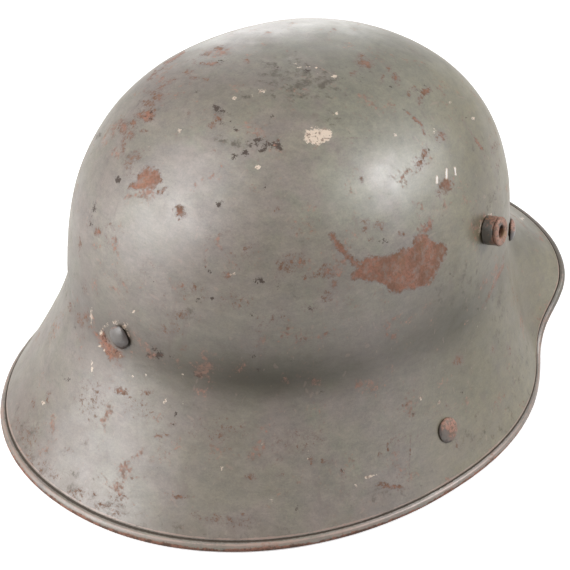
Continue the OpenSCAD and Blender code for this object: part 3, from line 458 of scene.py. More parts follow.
SOFTNESS = 7                         # pixels over which a shape's field falls from 1 to 0
SHAPE_STRENGTH = 1.15
SEEN_LIMIT, SEEN_FADE = 0.03, 0.25   # cosines of the angle to the camera
OLIVE_FROM, OLIVE_SPAN = 395, 90     # pixels where the paint turns to olive
FAR_OLIVE = 0.5                      # share of olive on the sides that the photograph leaves out
COOL_FROM, COOL_SPAN = 215, 160      # pixels where the crown turns to a cooler grey
COOL_LOW, COOL_LOW_SPAN = 170, 130   # and where that ends further down
CREASE_SHADE_MIDDLE, CREASE_SHADE_SPREAD = 262, 100      # pixels along the fold's shade
CREASE_SHADE_Z, CREASE_SHADE_UP, CREASE_SHADE_DOWN = 69, 17, 11
LINE_OFFSET = 2.4 * GROOVE_WIDTH     # from the groove to the painted highlight line above it
RIM_TOP, RIM_SIDE, RIM_SPAN = 85, 90, 50         # degrees round the roll
RIM_LINE, RIM_LINE_SPREAD, RIM_GROOVE_SPREAD = 32, 12, 9
VISOR_PAINT_FROM, VISOR_PAINT_SPAN = 84, 12      # millimetres forward where the rim has kept its paint


def edge_distance(pix, outline):
    """Signed distance in pixels from an outline, positive inside it."""
    corners_at = np.array(outline, float)
    best = np.full(len(pix), np.inf)
    inside = np.zeros(len(pix), bool)
    for p, q in zip(corners_at, np.roll(corners_at, -1, axis=0)):
        along = q - p
        t = np.clip((pix - p) @ along / (along @ along), 0, 1)
        best = np.minimum(best, np.linalg.norm(pix - p - t[:, None] * along, axis=1))
        crosses = (p[1] > pix[:, 1]) != (q[1] > pix[:, 1])
        if p[1] != q[1]:
            inside ^= crosses & (pix[:, 0] < p[0] + (pix[:, 1] - p[1]) * along[0] / along[1])
    return np.where(inside, best, -best)


def blot_field(pix, blots, lines=(), shapes=()):
    """Field that is 1 in a mark, 0.5 at its edge and 0 well outside, times the mark's strength."""
    field = np.zeros(len(pix))

    def raise_to(near, values):
        field[near] = np.maximum(field[near], values)

    for outline in shapes:
        low, high = np.min(outline, axis=0) - SOFTNESS, np.max(outline, axis=0) + SOFTNESS
        near = ((pix > low) & (pix < high)).all(axis=1)
        raise_to(near, SHAPE_STRENGTH * np.clip(0.5 + edge_distance(pix[near], outline) / SOFTNESS, 0, 1))
    for x, y, half_w, half_h, strength, *tilt in blots:
        lean = math.radians(sum(tilt))
        c, s = math.cos(lean), math.sin(lean)
        near = np.abs(pix - (x, y)).max(axis=1) < 2 * max(half_w, half_h)
        d = pix[near] - (x, y)
        rho = np.hypot((d[:, 0] * c + d[:, 1] * s) / half_w, (-d[:, 0] * s + d[:, 1] * c) / half_h)
        raise_to(near, strength * np.clip(1 - 0.5 * rho, 0, 1))
    for x0, y0, x1, y1, half_w, strength in lines:
        start, along = np.array([x0, y0]), np.array([x1 - x0, y1 - y0])
        near = np.abs(pix - (start + along / 2)).max(axis=1) < np.abs(along).max() / 2 + 2 * half_w + 2
        d = pix[near] - start
        t = np.clip(d @ along / (along @ along), 0, 1)
        rho = np.linalg.norm(d - t[:, None] * along, axis=1) / half_w
        raise_to(near, strength * np.clip(1 - 0.5 * rho, 0, 1))
    return field


def waves(points, shortest, longest, count, seed):
    """Smooth noise around 0, made of plane waves with lengths in millimetres."""
    rng = np.random.default_rng(seed)
    total = np.zeros(points.shape[:-1])
    for _ in range(count):
        way = unit(rng.normal(size=3))
        length = rng.uniform(shortest, longest)
        total += np.sin(points @ way * (2 * math.pi / length) + rng.uniform(0, 2 * math.pi))
    return total / math.sqrt(count)


# The fine shell
def rows_between(start, end, count):
    """Rows after a start up to and with an end."""
    return start + (end - start) * np.arange(1, count + 1) / count


def shell_rows():
    outer = np.concatenate([np.linspace(OUTER_START, 1, DOME_ROWS), rows_between(1, LAST_FROM, SKIRT_ROWS),
                            rows_between(LAST_FROM, SKIRT_END, LAST_ROWS)])
    inner = np.concatenate([np.linspace(INNER_START, 1, INNER_DOME_ROWS),
                            rows_between(1, SKIRT_END, INNER_SKIRT_ROWS)])[::-1]
    hem_from = 180 - math.degrees(math.asin(2 * HEM_SEAT / HEM_THICK))
    hem_to = -180 - math.degrees(math.asin(2 * (HEM_SEAT - SHEET) / HEM_THICK))
    return outer, np.linspace(hem_from, hem_to, HEM_ROWS), inner


def shell_columns():
    near = int(COLUMNS * SEEN_SHARE)
    return np.concatenate([np.linspace(SEEN_FROM, SEEN_TO, near, endpoint=False),
                           np.linspace(SEEN_TO, SEEN_FROM + 360, COLUMNS - near, endpoint=False)])


def outer_face(columns, rows):
    """Points and normals outside, with slight dents and the groove beside the rolled rim."""
    a, w = np.meshgrid(columns, rows)
    points = face(a, w)
    normals, _ = directions(a, w)
    dents = waves(points, *LARGE_DENTS) * LARGE_DENT_DEPTH + waves(points, *SMALL_DENTS) * SMALL_DENT_DEPTH
    calm = 1 - smooth((w - DENTS_FADE_FROM) / DENTS_FADE)
    groove = GROOVE_DEPTH * bell(w - SKIRT_END, GROOVE_WIDTH)
    return points + normals * (dents * calm - groove)[..., None], normals


def rolled_rim(columns, turns):
    """Points of the rolled rim, which swells on its upper side and is a little uneven."""
    a, turn = np.meshgrid(columns, turns)
    points = hem(a, turn)
    normals, _ = directions(a, np.full(a.shape, 2.0))
    past, left = turns[0] - turn, turn - turns[-1]
    swell = BEAD_LIFT * smooth(np.sin(np.radians(turn)) * smooth(past / LIFT_SPAN))
    swell = swell + waves(points, *RIM_WAVES) * RIM_UNEVEN
    return points + normals * (swell * smooth(past / START_SPAN) * smooth(left / END_SPAN))[..., None]


def clear_of_lugs(centres):
    """Which quads stay when the bores for the vent lugs are cut."""
    keep = np.ones(len(centres), bool)
    for side in (1, -1):
        seat = seat_frame(side * LUG_ANGLE, LUG_Z)
        axis = np.array(seat.col[2][:3])
        d = centres - np.array(seat.translation) / MM
        keep &= np.linalg.norm(d - (d @ axis)[:, None] * axis, axis=1) > LUG_NECK_D / 2 + LUG_ROOM
    return keep | (np.abs(centres[:, 2] - LUG_Z) > LUG_REACH)


def build_shell():
    rows, turns, inner_rows = shell_rows()
    columns = shell_columns()
    outer, normals = outer_face(columns, rows)
    grid = np.concatenate([outer, rolled_rim(columns, turns), face(*np.meshgrid(columns, inner_rows), SHEET)])
    poles = np.array([[0, WIDEST_Y, SHELL_HEIGHT], [0, WIDEST_Y, SHELL_HEIGHT - SHEET]])
    points = np.concatenate([grid.reshape(-1, 3), poles])
    quads = quad_grid(len(grid), COLUMNS)[:, ::-1]
    quads = quads[clear_of_lugs(points[quads].mean(axis=1))]
    last = (len(grid) - 1) * COLUMNS
    pole = np.full(COLUMNS, len(grid) * COLUMNS)
    j = np.arange(COLUMNS)
    k = (j + 1) % COLUMNS
    fans = np.concatenate([np.stack([pole, j, k], -1), np.stack([pole + 1, last + k, last + j], -1)])
    piece = mesh_object("pressed_shell", points * MM, quads, fans)
    add_marks_and_painted_light(piece, points, outer, normals, np.repeat(rows, COLUMNS), np.repeat(turns, COLUMNS))
    return piece


def add_marks_and_painted_light(piece, points, outer, normals, ws, turn):
    """Point fields for the paint: marks and painted shade on the outer face, then the wear, painted
    highlights and painted shade along the rolled rim.
    """
    on_face, on_rim = slice(0, len(ws)), slice(len(ws), len(ws) + len(turn))
    facing = (normals * unit(EYE - outer)).sum(-1).ravel()
    seen, fade = facing > SEEN_LIMIT, smooth(facing / SEEN_FADE)
    pix = pixels(outer.reshape(-1, 3))
    fields = {name: np.zeros(len(points)) for name in (*MARKS, *OTHER_FIELDS)}
    for name, kinds in MARKS.items():
        fields[name][on_face] = blot_field(pix, *kinds) * (fade if name in SOFT_MARKS else seen)
    # Painted shade along the fold under the dome: all round, and deepest in the middle of the seen side.
    along = 0.4 + 0.6 * fade * bell(pix[:, 0] - CREASE_SHADE_MIDDLE, CREASE_SHADE_SPREAD)
    rise = outer[..., 2].ravel() - CREASE_SHADE_Z
    fields["shade"][on_face] += along * bell(rise, np.where(rise > 0, CREASE_SHADE_UP, CREASE_SHADE_DOWN))
    crown = smooth((pix[:, 0] - COOL_FROM) / COOL_SPAN) * (1 - smooth((pix[:, 1] - COOL_LOW) / COOL_LOW_SPAN))
    fields["cool"][on_face] = crown * fade
    fields["olive"][on_face] = mix(FAR_OLIVE, smooth((pix[:, 0] - OLIVE_FROM) / OLIVE_SPAN), fade)
    fields["unseen"][on_face] = 1 - smooth((facing + 0.15) / 0.2)
    fields["unseen"][on_rim.stop:] = 1
    # painted shade in the groove, and a painted highlight along a line above it
    fields["groove"][on_face] = bell(ws - SKIRT_END, GROOVE_WIDTH)
    fields["line"][on_face] = bell(ws - SKIRT_END + LINE_OFFSET, GROOVE_WIDTH)
    past = turn - turn[0]
    painted = smooth((-points[on_rim, 1] - VISOR_PAINT_FROM) / VISOR_PAINT_SPAN)
    # On the roll: painted shade in the groove and on the visor's part, where it also dulls the gloss; painted
    # highlights along a line and along the top; rust on the outer side.
    fields["groove"][on_rim] = bell(past, RIM_GROOVE_SPREAD)
    fields["shade"][on_rim] = 0.55 * painted
    fields["line"][on_rim] = (1 - 0.6 * painted) * bell(past + RIM_LINE, RIM_LINE_SPREAD)
    fields["bead"][on_rim] = (1 - 0.6 * painted) * (1 - smooth(np.abs(turn - RIM_TOP) / RIM_SPAN))
    fields["bead_side"][on_rim] = (1 - 0.75 * painted) * smooth((RIM_SIDE - turn) / RIM_SPAN)
    for name, values in fields.items():
        add_field(piece, name, values)


# Finer pieces in place of the plain fittings
def soften(line, times):
    """Open outline with its corners cut round."""
    for _ in range(times):
        cut = np.stack([mix(line[:-1], line[1:], 0.25), mix(line[:-1], line[1:], 0.75)], 1).reshape(-1, 2)
        line = np.concatenate([line[:1], cut, line[-1:]])
    return line


def revolved(outline, sides, squareness=2.0, lean=0.0):
    """Points and quads of an outline of (radius, height) turned about Z, more square over 2."""
    turn = np.arange(sides) * 2 * math.pi / sides
    c, s = np.abs(np.cos(turn - lean)), np.abs(np.sin(turn - lean))
    ring = (c ** squareness + s ** squareness) ** (-1 / squareness)
    r, z = outline[:, :1], outline[:, 1:]
    wide = r * (1 + (ring - 1) * np.clip(r / outline[:, 0].max(), 0, 1))
    points = np.stack([wide * np.cos(turn), wide * np.sin(turn), z + 0 * turn], -1)
    return points.reshape(-1, 3), quad_grid(len(outline), sides)


def swept(line, side, lift, section):
    """Points and quads of a closed section of (side, lift) swept along a line with its two directions."""
    points = line[:, None] + side[:, None] * section[None, :, :1] + lift[:, None] * section[None, :, 1:]
    return points.reshape(-1, 3), quad_grid(len(line), len(section))


def rounded_section(half_width, half_thick, radius, steps=4):
    """Rectangle with round corners, as (across the width, across the thickness)."""
    parts = []
    for x, y, start in ((1, 1, 0), (-1, 1, 90), (-1, -1, 180), (1, -1, 270)):
        turn = np.radians(np.linspace(start, start + 90, steps + 1))
        parts.append(np.stack([x * (half_width - radius) + radius * np.cos(turn),
                               y * (half_thick - radius) + radius * np.sin(turn)], -1))
    return np.concatenate(parts)


def place(points, matrix):
    m = np.array(matrix)
    return points @ m[:3, :3].T + m[:3, 3] / MM


def corners(mesh):
    """Corners in metres and their normals."""
    arrays = []
    for key in ("co", "normal"):
        values = np.empty(len(mesh.vertices) * 3, np.float32)
        mesh.vertices.foreach_get(key, values)
        arrays.append(values.reshape(-1, 3))
    return arrays


def set_corners(mesh, points):
    mesh.vertices.foreach_set("co", np.asarray(points, np.float32).ravel())
    mesh.update()


def face_outward(mesh, caps=()):
    """Closes a mesh with its caps, given as corner indices, and turns all its faces outward."""
    level = bmesh.new()
    level.from_mesh(mesh)
    level.verts.ensure_lookup_table()
    for cap in caps:
        level.faces.new([level.verts[i] for i in cap])
    bmesh.ops.recalc_face_normals(level, faces=level.faces)
    level.to_mesh(mesh)
    level.free()


def stand_in(piece, node, body):
    """Hands a piece in for a node of the frame."""
    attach(piece, body)
    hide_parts(node)
    return piece


def fitting(name, node, body, parts, marks=None):
    """Piece made of parts, each given as points and quads. Its marks are blots in the photograph's pixels."""
    offsets = np.cumsum([0] + [len(points) for points, _ in parts])
    points = np.concatenate([points for points, _ in parts])
    quads = np.concatenate([quads + offset for (_, quads), offset in zip(parts, offsets)])
    piece = mesh_object(name, points * MM, quads)
    face_outward(piece.data)
    pix = pixels(points)
    for field in ("pink", "grey", "dark_and_shade", "ochre"):
        add_field(piece, field, blot_field(pix, (marks or {}).get(field, ())))
    return stand_in(piece, node, body)


INSIDE = -SHEET - 2 * SEAT
LUG_PROFILE = [
    (3.0, INSIDE - 1.6), (5.7, INSIDE - 1.6), (6.2, INSIDE - 1.2), (6.2, INSIDE - 0.5), (4.8, INSIDE),
    (4.8, 0.3), (6.7, 0.3), (6.6, 0.9), (6.55, 5.4), (6.5, 5.6), (6.0, 5.75), (6.0, 5.85), (6.35, 5.95),
    (6.7, 6.3), (6.7, 7.0), (6.3, 7.5), (5.6, 7.7), (4.2, 7.65), (3.5, 7.45), (3.05, 7.0), (2.95, 6.0),
    (3.0, INSIDE - 1.6),
]
LUG_MOUTH_Z, LUG_BORE_R = 5.8, 3.0
# On the right lug, pink is the rusty end ring with a painted highlight on its rim, ochre the clogged bore,
# and the dark marks are painted shade in the top of the bore and on the lower side of the barrel.
LUG_MARKS = {
    "pink": [(497, 222, 14, 8, 1, 60), (507, 236, 10, 7, 0.95, -60), (494, 240, 4, 6, 0.9),
             (509, 226, 6, 10, 0.9), (488, 219, 8, 3, 0.62, -10)],
    "ochre": [(503, 233, 3.4, 5, 0.9), (488, 218, 6, 2.5, 0.6, -10)],
    "dark_and_shade": [(501, 226, 2.5, 3, 1), (484, 243, 6, 3, 0.7, 30)],
}
# On the rear rivet, grey is a painted sheen on the left of the dome, the dark marks are its dark steel with
# painted shade on the right and lower side, and pink is rust at its edge.
REAR_RIVET_MARKS = {
    "grey": [(114, 335, 8, 8, 1, 20), (120, 339, 5, 5, 0.7)],
    "dark_and_shade": [(127, 338, 5, 11, 1, -15), (120, 347, 12, 3.5, 1, 15)],
    "pink": [(113, 328, 6, 2, 0.75, -15), (129, 333, 2.4, 5, 0.6, -20)],
}
# On the right chinstrap rivet, pink is rust with a painted highlight, grey a painted sheen, and the dark
# marks on the left and lower rim are its dark steel with painted shade.
CHIN_RIVET_MARKS = {
    "pink": [(449, 425, 9, 9, 1.15, 20), (452, 432, 5, 6, 0.8)],
    "grey": [(444, 434, 4.5, 5, 1, 20)],
    "dark_and_shade": [(440, 430, 2, 10, 0.9, -5), (450, 443, 10, 3, 0.95, 10)],
}
# On the right front rivet, the pink top is rust with a painted highlight, and the dark bottom is its dark
# steel with painted shade.
FRONT_RIVET_MARKS = {"pink": [(511, 225, 5, 7, 1.1)], "dark_and_shade": [(511, 240, 5, 7, 1)]}


def add_mouth(piece, seat):
    """How much of each point of a lug belongs to its open end and to its bore."""
    m = np.array(seat.inverted())
    points, _ = corners(piece.data)
    own = (points @ m[:3, :3].T + m[:3, 3]) / MM
    radius = np.linalg.norm(own[:, :2], axis=1)
    open_end = smooth((own[:, 2] - LUG_MOUTH_Z) / 0.3) * smooth((radius - LUG_BORE_R + 0.1) / 0.3)
    add_field(piece, "mouth", open_end)
    add_field(piece, "bore", 1 - smooth((radius - LUG_BORE_R) / 0.25))


def make_lugs():
    outline = soften(np.array(LUG_PROFILE), 2)
    for side, name, marks in ((1, "vent_lug_right", LUG_MARKS), (-1, "vent_lug_left", None)):
        seat = seat_frame(side * LUG_ANGLE, LUG_Z)
        points, quads = revolved(outline, LUG_SIDES)
        points = place(points + waves(points, *LUG_WAVES)[:, None] * LUG_UNEVEN, seat)
        piece = fitting(name + "_worn", name, "helmet", [(points, quads)], marks)
        add_mouth(piece, seat)
        yield piece


def rivet_head(seat, shank, size, ripple, uneven, squareness=2.0, lean=0.0):
    """Placed points and quads of a shank outline with a domed head. Its size is (radius, height, edge)."""
    radius, height, edge = size
    steps = np.radians(np.arange(0, 90, 7.5))
    dome = [(radius * math.cos(t), edge + (height - edge) * math.sin(t)) for t in steps]
    outline = soften(np.array([*shank, *dome, (0.02, height)]), 2)
    points, quads = revolved(outline, RIVET_SIDES, squareness, lean)
    return place(points + waves(points, *ripple)[:, None] * np.array(uneven), seat), quads


def split_rivet(name, angle, z, marks, squareness):
    """Domed head, slit shank and two bent prongs, which narrow and sag a little to their ends."""
    seat = seat_frame(angle, z)
    size = (RIVET_HEAD_D / 2, RIVET_HEAD_H, RIVET_EDGE)
    shank = [(2.3, -PRONG_OUT), (2.4, 0.3), (RIVET_HEAD_D / 2 - 0.5, 0.3)]
    parts = [rivet_head(seat, shank, size, RIVET_WAVES, RIVET_UNEVEN, squareness, math.radians(45))]
    section = rounded_section(PRONG_HALF_WIDTH, PRONG_THICK / 2, PRONG_ROUND)
    reach = np.array([0.25, 1.6, 3.2, 5.0, 7.2, PRONG_LENGTH - 0.4, PRONG_LENGTH])
    sag = np.array([0, 0.02, 0.0, 0.0, -0.02, -0.05, -0.05])
    shrink = np.array([1, 1, 1, 0.98, 0.95, 0.8, 0.25])
    side, lift = np.outer(shrink, (1.0, 0.0, 0.0)), np.tile([0.0, 0.0, 1.0], (len(reach), 1))
    for way in (1, -1):
        line = np.stack([0 * reach, reach * way, -PRONG_OUT - PRONG_THICK / 2 + sag], -1)
        points, quads = swept(line, side, lift, section)
        parts.append((place(points, seat), quads))
    return fitting(name + "_worn", name, "helmet", parts, marks)


def domed_rivet(name, side, marks):
    """Low domed head and the plain shank of a chinstrap rivet."""
    seat = seat_frame(side * CHIN_ANGLE, CHIN_RIVET_Z)
    radius = CHIN_HEAD_D / 2
    shank = [(0.02, -CHIN_SHANK), (2.4, -CHIN_SHANK), (2.5, 0.3), (radius - 0.3, 0.3)]
    head = rivet_head(seat, shank, (radius, CHIN_HEAD_H, CHIN_EDGE), CHIN_RIVET_WAVES, CHIN_RIVET_UNEVEN)
    return fitting(name + "_worn", name, "helmet", [head], marks)


def liner_z(a):
    return REAR_RIVET_Z + (DOME_REAR - dome_plan(np.array(float(a)))[1]) * math.tan(math.radians(BAND_TILT))


# Soft pieces
PAD_VOXEL, PAD_VOXEL_QUICK = 0.8, 1.6
CUSHION_VOXEL, CUSHION_SLACK = 4, 0.8
CUSHION_PRESSURE, CUSHION_STIFFNESS, CUSHION_FRAMES = 4, 12, 20


def baked(piece, *steps):
    """Applies modifiers, each given as its kind and its settings."""
    for kind, settings in steps:
        modifier = piece.modifiers.new(kind.lower(), kind)
        for key, value in settings.items():
            setattr(modifier, key, value)
    bpy.context.view_layer.update()
    mesh = bpy.data.meshes.new_from_object(piece.evaluated_get(bpy.context.evaluated_depsgraph_get()))
    piece.modifiers.clear()
    piece.data = mesh
    mesh.polygons.foreach_set("use_smooth", [True] * len(mesh.polygons))


def soft_copy(name, node, voxel, rounds):
    """Copy of a plain soft solid with its edges rounded."""
    piece = place_new(name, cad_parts[node].data.copy())
    baked(piece, ("REMESH", {"mode": "VOXEL", "voxel_size": voxel * MM}),
          ("SMOOTH", {"iterations": rounds, "factor": 0.5}))
    return piece


def make_pad(name, node, seed):
    """Thick leather: rounded cut edges and a slightly uneven face."""
    piece = soft_copy(name, node, PAD_VOXEL, 3)
    points, normals = corners(piece.data)
    lift = waves(points / MM, *PAD_WAVES, seed) * PAD_UNEVEN
    lift = lift + waves(points / MM, *PAD_GRAIN, seed + 1) * PAD_GRAIN_HEIGHT
    set_corners(piece.data, points + normals * (lift * MM)[:, None])
    return stand_in(piece, node, "helmet")


def blow_up(piece, start):
    """Swells a cushion by a cloth simulation, by at most its slack."""
    cloth = piece.modifiers.new("cloth", "CLOTH")
    cloth.settings.use_pressure = True
    cloth.settings.uniform_pressure_force = CUSHION_PRESSURE
    cloth.settings.effector_weights.gravity = 0
    cloth.settings.tension_stiffness = cloth.settings.compression_stiffness = CUSHION_STIFFNESS
    for step in range(1, CUSHION_FRAMES + 1):
        bpy.context.scene.frame_set(step)
    baked(piece)
    bpy.context.scene.frame_set(1)
    move = corners(piece.data)[0] - start
    reach = np.linalg.norm(move, axis=1, keepdims=True)
    set_corners(piece.data, start + move * np.minimum(1, CUSHION_SLACK * MM / np.maximum(reach, 1e-9)))


def make_cushion(name, node):
    """Cloth cushion, drawn in a little and then blown up again."""
    piece = soft_copy(name, node, CUSHION_VOXEL, 1)
    start, normals = corners(piece.data)
    start = start - normals * CUSHION_SLACK * MM
    set_corners(piece.data, start)
    blow_up(piece, start)
    baked(piece, ("SUBSURF", {"levels": 1}))
    points, normals = corners(piece.data)
    lift = waves(points / MM, *CUSHION_WAVES) * CUSHION_UNEVEN
    set_corners(piece.data, points + normals * (lift * MM)[:, None])
    stand_in(piece, node, "helmet")
    return piece


# Chinstrap in its own plane: X across, Y along its reach, Z across its width
def strap_curve(t):
    t = np.radians(np.asarray(t, float))
    c, s = np.cos(t), np.clip(np.sin(t), 0, 1)
    return np.stack([-(CLIP_X - LOOP_R) * np.sign(c) * np.abs(c) ** (2 / STRAP_POWER),
                     LOOP_Y + (STRAP_REACH - LOOP_Y) * s ** (2 / STRAP_POWER)], -1)


def strap_out(t):
    d = strap_curve(np.minimum(t + 1, 180)) - strap_curve(np.maximum(t - 1, 0))
    return unit(np.stack([-d[..., 1], d[..., 0]], -1))


def doubled(t):
    """End of the strap that comes back from its loop and lies on the strap."""
    away = mix(2 * LOOP_R, STRAP_THICK + SEAT, smooth(fold(2 * t) / 2 / 12))
    return strap_curve(t) + strap_out(t) * away[..., None]


def strap_line():
    end = (BUCKLE_TURN + 4) * np.arange(30, 0, -1) / 30
    turn = np.radians(np.arange(0, 181, 10))
    right, left = (np.stack([side * CLIP_X - LOOP_R * np.cos(turn), LOOP_Y - LOOP_R * np.sin(turn)], -1)
                   for side in (-1, 1))
    return np.concatenate([doubled(end), right, strap_curve(np.linspace(2, 178, 170)), left,
                           doubled(180 - end[::-1])])


def strap_section():
    """Rounded strip with a pressed line along each edge, as (across the width, across the thickness)."""
    half, thick = STRAP_WIDTH / 2, STRAP_THICK / 2
    steps = [(0, -thick), (0.1, -0.3), (0.4, 0), (1.3, 0), (1.6, -0.18), (1.9, 0), (4, 0)]
    top = [(half - inward, thick + drop) for inward, drop in steps]
    across = top + [(-x, y) for x, y in top[::-1]]
    return soften(np.array(across + [(-x, -y) for x, y in across[1:]]), 1)


def make_strap():
    line = strap_line()
    along, section, zero = unit(np.gradient(line, axis=0)), strap_section(), np.zeros(len(line))
    points, quads = swept(np.column_stack([line, zero]), np.tile([0.0, 0.0, 1.0], (len(line), 1)),
                          np.column_stack([-along[:, 1], along[:, 0], zero]), section)
    points = points + waves(points, *STRAP_WAVES)[:, None] * STRAP_UNEVEN
    dip = math.asin((POST_Z - STRAP_WIDTH / 2 - STRAP_CLEARANCE) / STRAP_REACH)
    c, s = math.cos(dip), math.sin(dip)
    x, y, z = points.T
    turned = np.column_stack([x, POST_Y + y * c + z * s, POST_Z - y * s + z * c])
    piece = fitting("leather_chin_strap", "chin_strap", "chinstrap", [(turned, quads)])
    first = np.arange(len(section))
    face_outward(piece.data, (first[::-1], (len(line) - 1) * len(section) + first))
    return piece


# Node helpers
class Nodes:
    """Node tree of a new material or world, built with short calls."""

    def __init__(self, name, kind="Material"):
        self.owner = (bpy.data.materials if kind == "Material" else bpy.data.worlds).new(name)
        self.owner.use_nodes = True
        self.tree = self.owner.node_tree
        self.tree.nodes.clear()
        self.out = self.add("Output" + kind)
        self.coords = self.add("TexCoord").outputs["Object"]

    def add(self, kind, **settings):
        node = self.tree.nodes.new("ShaderNode" + kind)
        for key, value in settings.items():
            setattr(node, key, value)
        return node

    def put(self, socket, value):
        if isinstance(value, bpy.types.NodeSocket):
            self.tree.links.new(value, socket)
        elif isinstance(value, tuple) and len(value) == 3 and socket.type == "RGBA":
            socket.default_value = (*value, 1)
        else:
            socket.default_value = value

    def put_all(self, node, values):
        for key, value in values.items():
            self.put(node.inputs[key], value)
        return node

    def chain(self, operation, first, *others):
        for other in others:
            first = self.put_all(self.add("Math", operation=operation), {0: first, 1: other}).outputs[0]
        return first

    def total(self, *values):
        return self.chain("ADD", *values)

    def minus(self, *values):
        return self.chain("SUBTRACT", *values)

    def times(self, *values):
        return self.chain("MULTIPLY", *values)

    def most(self, *values):
        return self.chain("MAXIMUM", *values)

    def swing(self, value, amount):
        """Noise centred on 0, times an amount."""
        return self.times(self.minus(value, 0.5), amount)

    def stretch(self, x, y, z):
        return self.put_all(self.add("Mapping"), {"Vector": self.coords, "Scale": (x, y, z)}).outputs[0]

    def noise(self, scale, detail=2.0, rough=0.5, vector=None, distortion=0.0):
        values = {"Vector": vector or self.coords, "Scale": scale, "Detail": detail, "Roughness": rough,
                  "Distortion": distortion}
        return self.put_all(self.add("TexNoise"), values).outputs["Fac"]

    def ramp(self, value, low, high, to_low=0.0, to_high=1.0):
        values = {"Value": value, "From Min": low, "From Max": high, "To Min": to_low, "To Max": to_high}
        return self.put_all(self.add("MapRange", interpolation_type="SMOOTHSTEP"), values).outputs[0]

    def grey(self, value):
        return self.put_all(self.add("CombineColor"), {0: value, 1: value, 2: value}).outputs[0]

    def field(self, name):
        return self.add("Attribute", attribute_name=name).outputs["Fac"]

    def blend(self, factor, a, b, mode="MIX"):
        node = self.add("Mix", data_type="RGBA", blend_type=mode)
        return self.put_all(node, {"Factor": factor, 6: a, 7: b}).outputs[2]

    def bump(self, height, strength, distance):
        values = {"Height": height, "Strength": strength, "Distance": distance}
        return self.put_all(self.add("Bump"), values).outputs[0]

    def finish(self, **sockets):
        values = {key.replace("_", " "): value for key, value in sockets.items()}
        self.put(self.out.inputs[0], self.put_all(self.add("BsdfPrincipled"), values).outputs[0])
        return self.owner

    def seen_rays(self):
        """1 for rays that look at the background: straight, mirrored or through glass."""
        path = self.add("LightPath")
        return self.most(*(path.outputs["Is %s Ray" % kind] for kind in ("Camera", "Glossy", "Transmission")))


# Tones, linear
PAINT_WARM = (0.152, 0.132, 0.098)
PAINT_PINK = (0.160, 0.129, 0.108)
PAINT_GREEN = (0.144, 0.137, 0.094)
PAINT_OLIVE = (0.130, 0.110, 0.052)
PAINT_IOR = 1.55
RUST_AND_HIGHLIGHT_PINK = (0.345, 0.165, 0.115)
RUST_DEEP = (0.135, 0.075, 0.046)
RUST_OCHRE = (0.270, 0.150, 0.075)
STAIN = (0.105, 0.070, 0.056)
CHIP_AND_SHADE_DARK = (0.036, 0.022, 0.017)
CHIP_PALE = (0.600, 0.485, 0.385)
SCRATCH_WHITE = (0.760, 0.740, 0.720)
GRIME = (0.062, 0.050, 0.036)
TAN = (0.116, 0.084, 0.060)
SHADE = (0.044, 0.037, 0.022)
GROOVE_SHADE = (0.050, 0.038, 0.028)
LINE_PINK = (0.300, 0.205, 0.165)
BEAD_HIGHLIGHT = (0.215, 0.165, 0.130)
BEAD_SIDE = (0.120, 0.066, 0.046)
SHEEN_GREY = (0.105, 0.090, 0.079)


def paint_base(n):
    """Grey-green paint with its uneven hue and tone, drips, rubbed streaks and tan dust."""
    hue = n.noise(38, 4, 0.62, distortion=0.3)
    green = n.total(n.field("cool"), n.swing(n.noise(52, 4, 0.65), 3.2))
    uneven = n.total(n.swing(n.noise(85, 6, 0.9, n.stretch(1, 1, 1.9)), 2.0),
                     n.swing(n.noise(1300, 3, 0.7), 0.6), 1.0)
    colour = n.blend(n.ramp(hue, 0.36, 0.64), PAINT_WARM, PAINT_PINK)
    colour = n.blend(n.ramp(green, 0.15, 0.95, 0, 0.85), colour, PAINT_GREEN)
    colour = n.blend(n.times(n.field("olive"), 0.85), colour, PAINT_OLIVE)
    colour = n.blend(1.0, colour, n.grey(uneven), "MULTIPLY")
    drip = n.ramp(n.noise(170, 3, 0.6, n.stretch(1, 1, 0.09)), 0.58, 0.74, 0, 0.45)
    rubbed = n.ramp(n.noise(240, 4, 0.65, n.stretch(0.22, 1, 1)), 0.56, 0.72, 0, 0.25)
    colour = n.blend(n.most(drip, rubbed), colour, STAIN)
    dust = n.ramp(n.noise(110, 5, 0.75, n.stretch(1, 1, 0.4)), 0.36, 0.62, 0.25, 0.95)
    return n.blend(n.times(n.field("tan"), dust), colour, TAN)


def rust_tones(n, rust_field):
    """Mottled rust, deeper where it is thin."""
    thin = n.times(n.ramp(rust_field, 0.95, 0.45), 0.85)
    deep = n.most(n.ramp(n.noise(900, 5, 0.75), 0.40, 0.66, 0, 0.6), thin)
    tone = n.blend(deep, RUST_AND_HIGHLIGHT_PINK, RUST_DEEP)
    tone = n.blend(n.ramp(n.noise(120, 4, 0.6), 0.52, 0.72, 0, 0.45), tone, RUST_OCHRE)
    return n.blend(n.ramp(n.noise(70, 4, 0.65), 0.42, 0.60, 0, 0.5), tone, RUST_DEEP)


def rim_marks_and_painted_light(n, colour, fine):
    """Pinkish painted highlight lines beside the groove, a painted highlight along the top, a rusty outer
    side and painted shade in the groove.
    """
    uneven = n.swing(n.noise(60, 5, 0.7), 3.0)
    top = n.ramp(n.total(n.field("bead"), uneven), 0.55, 0.95, 0, 0.75)
    side = n.ramp(n.total(n.field("bead_side"), uneven, n.swing(fine, 1.6)), 0.30, 0.75, 0, 0.92)
    line = n.ramp(n.total(n.field("line"), uneven, n.swing(fine, 1.2)), 0.35, 0.85, 0, 0.8)
    groove = n.ramp(n.total(n.field("groove"), n.swing(fine, 1.2)), 0.2, 0.8, 0, 0.95)
    side_tone = n.blend(n.ramp(n.noise(420, 4, 0.6), 0.4, 0.62), BEAD_SIDE, RUST_AND_HIGHLIGHT_PINK)
    for share, tone in ((top, BEAD_HIGHLIGHT), (side, side_tone), (line, LINE_PINK), (groove, GROOVE_SHADE)):
        colour = n.blend(share, colour, tone)
    return colour, n.most(side, groove)


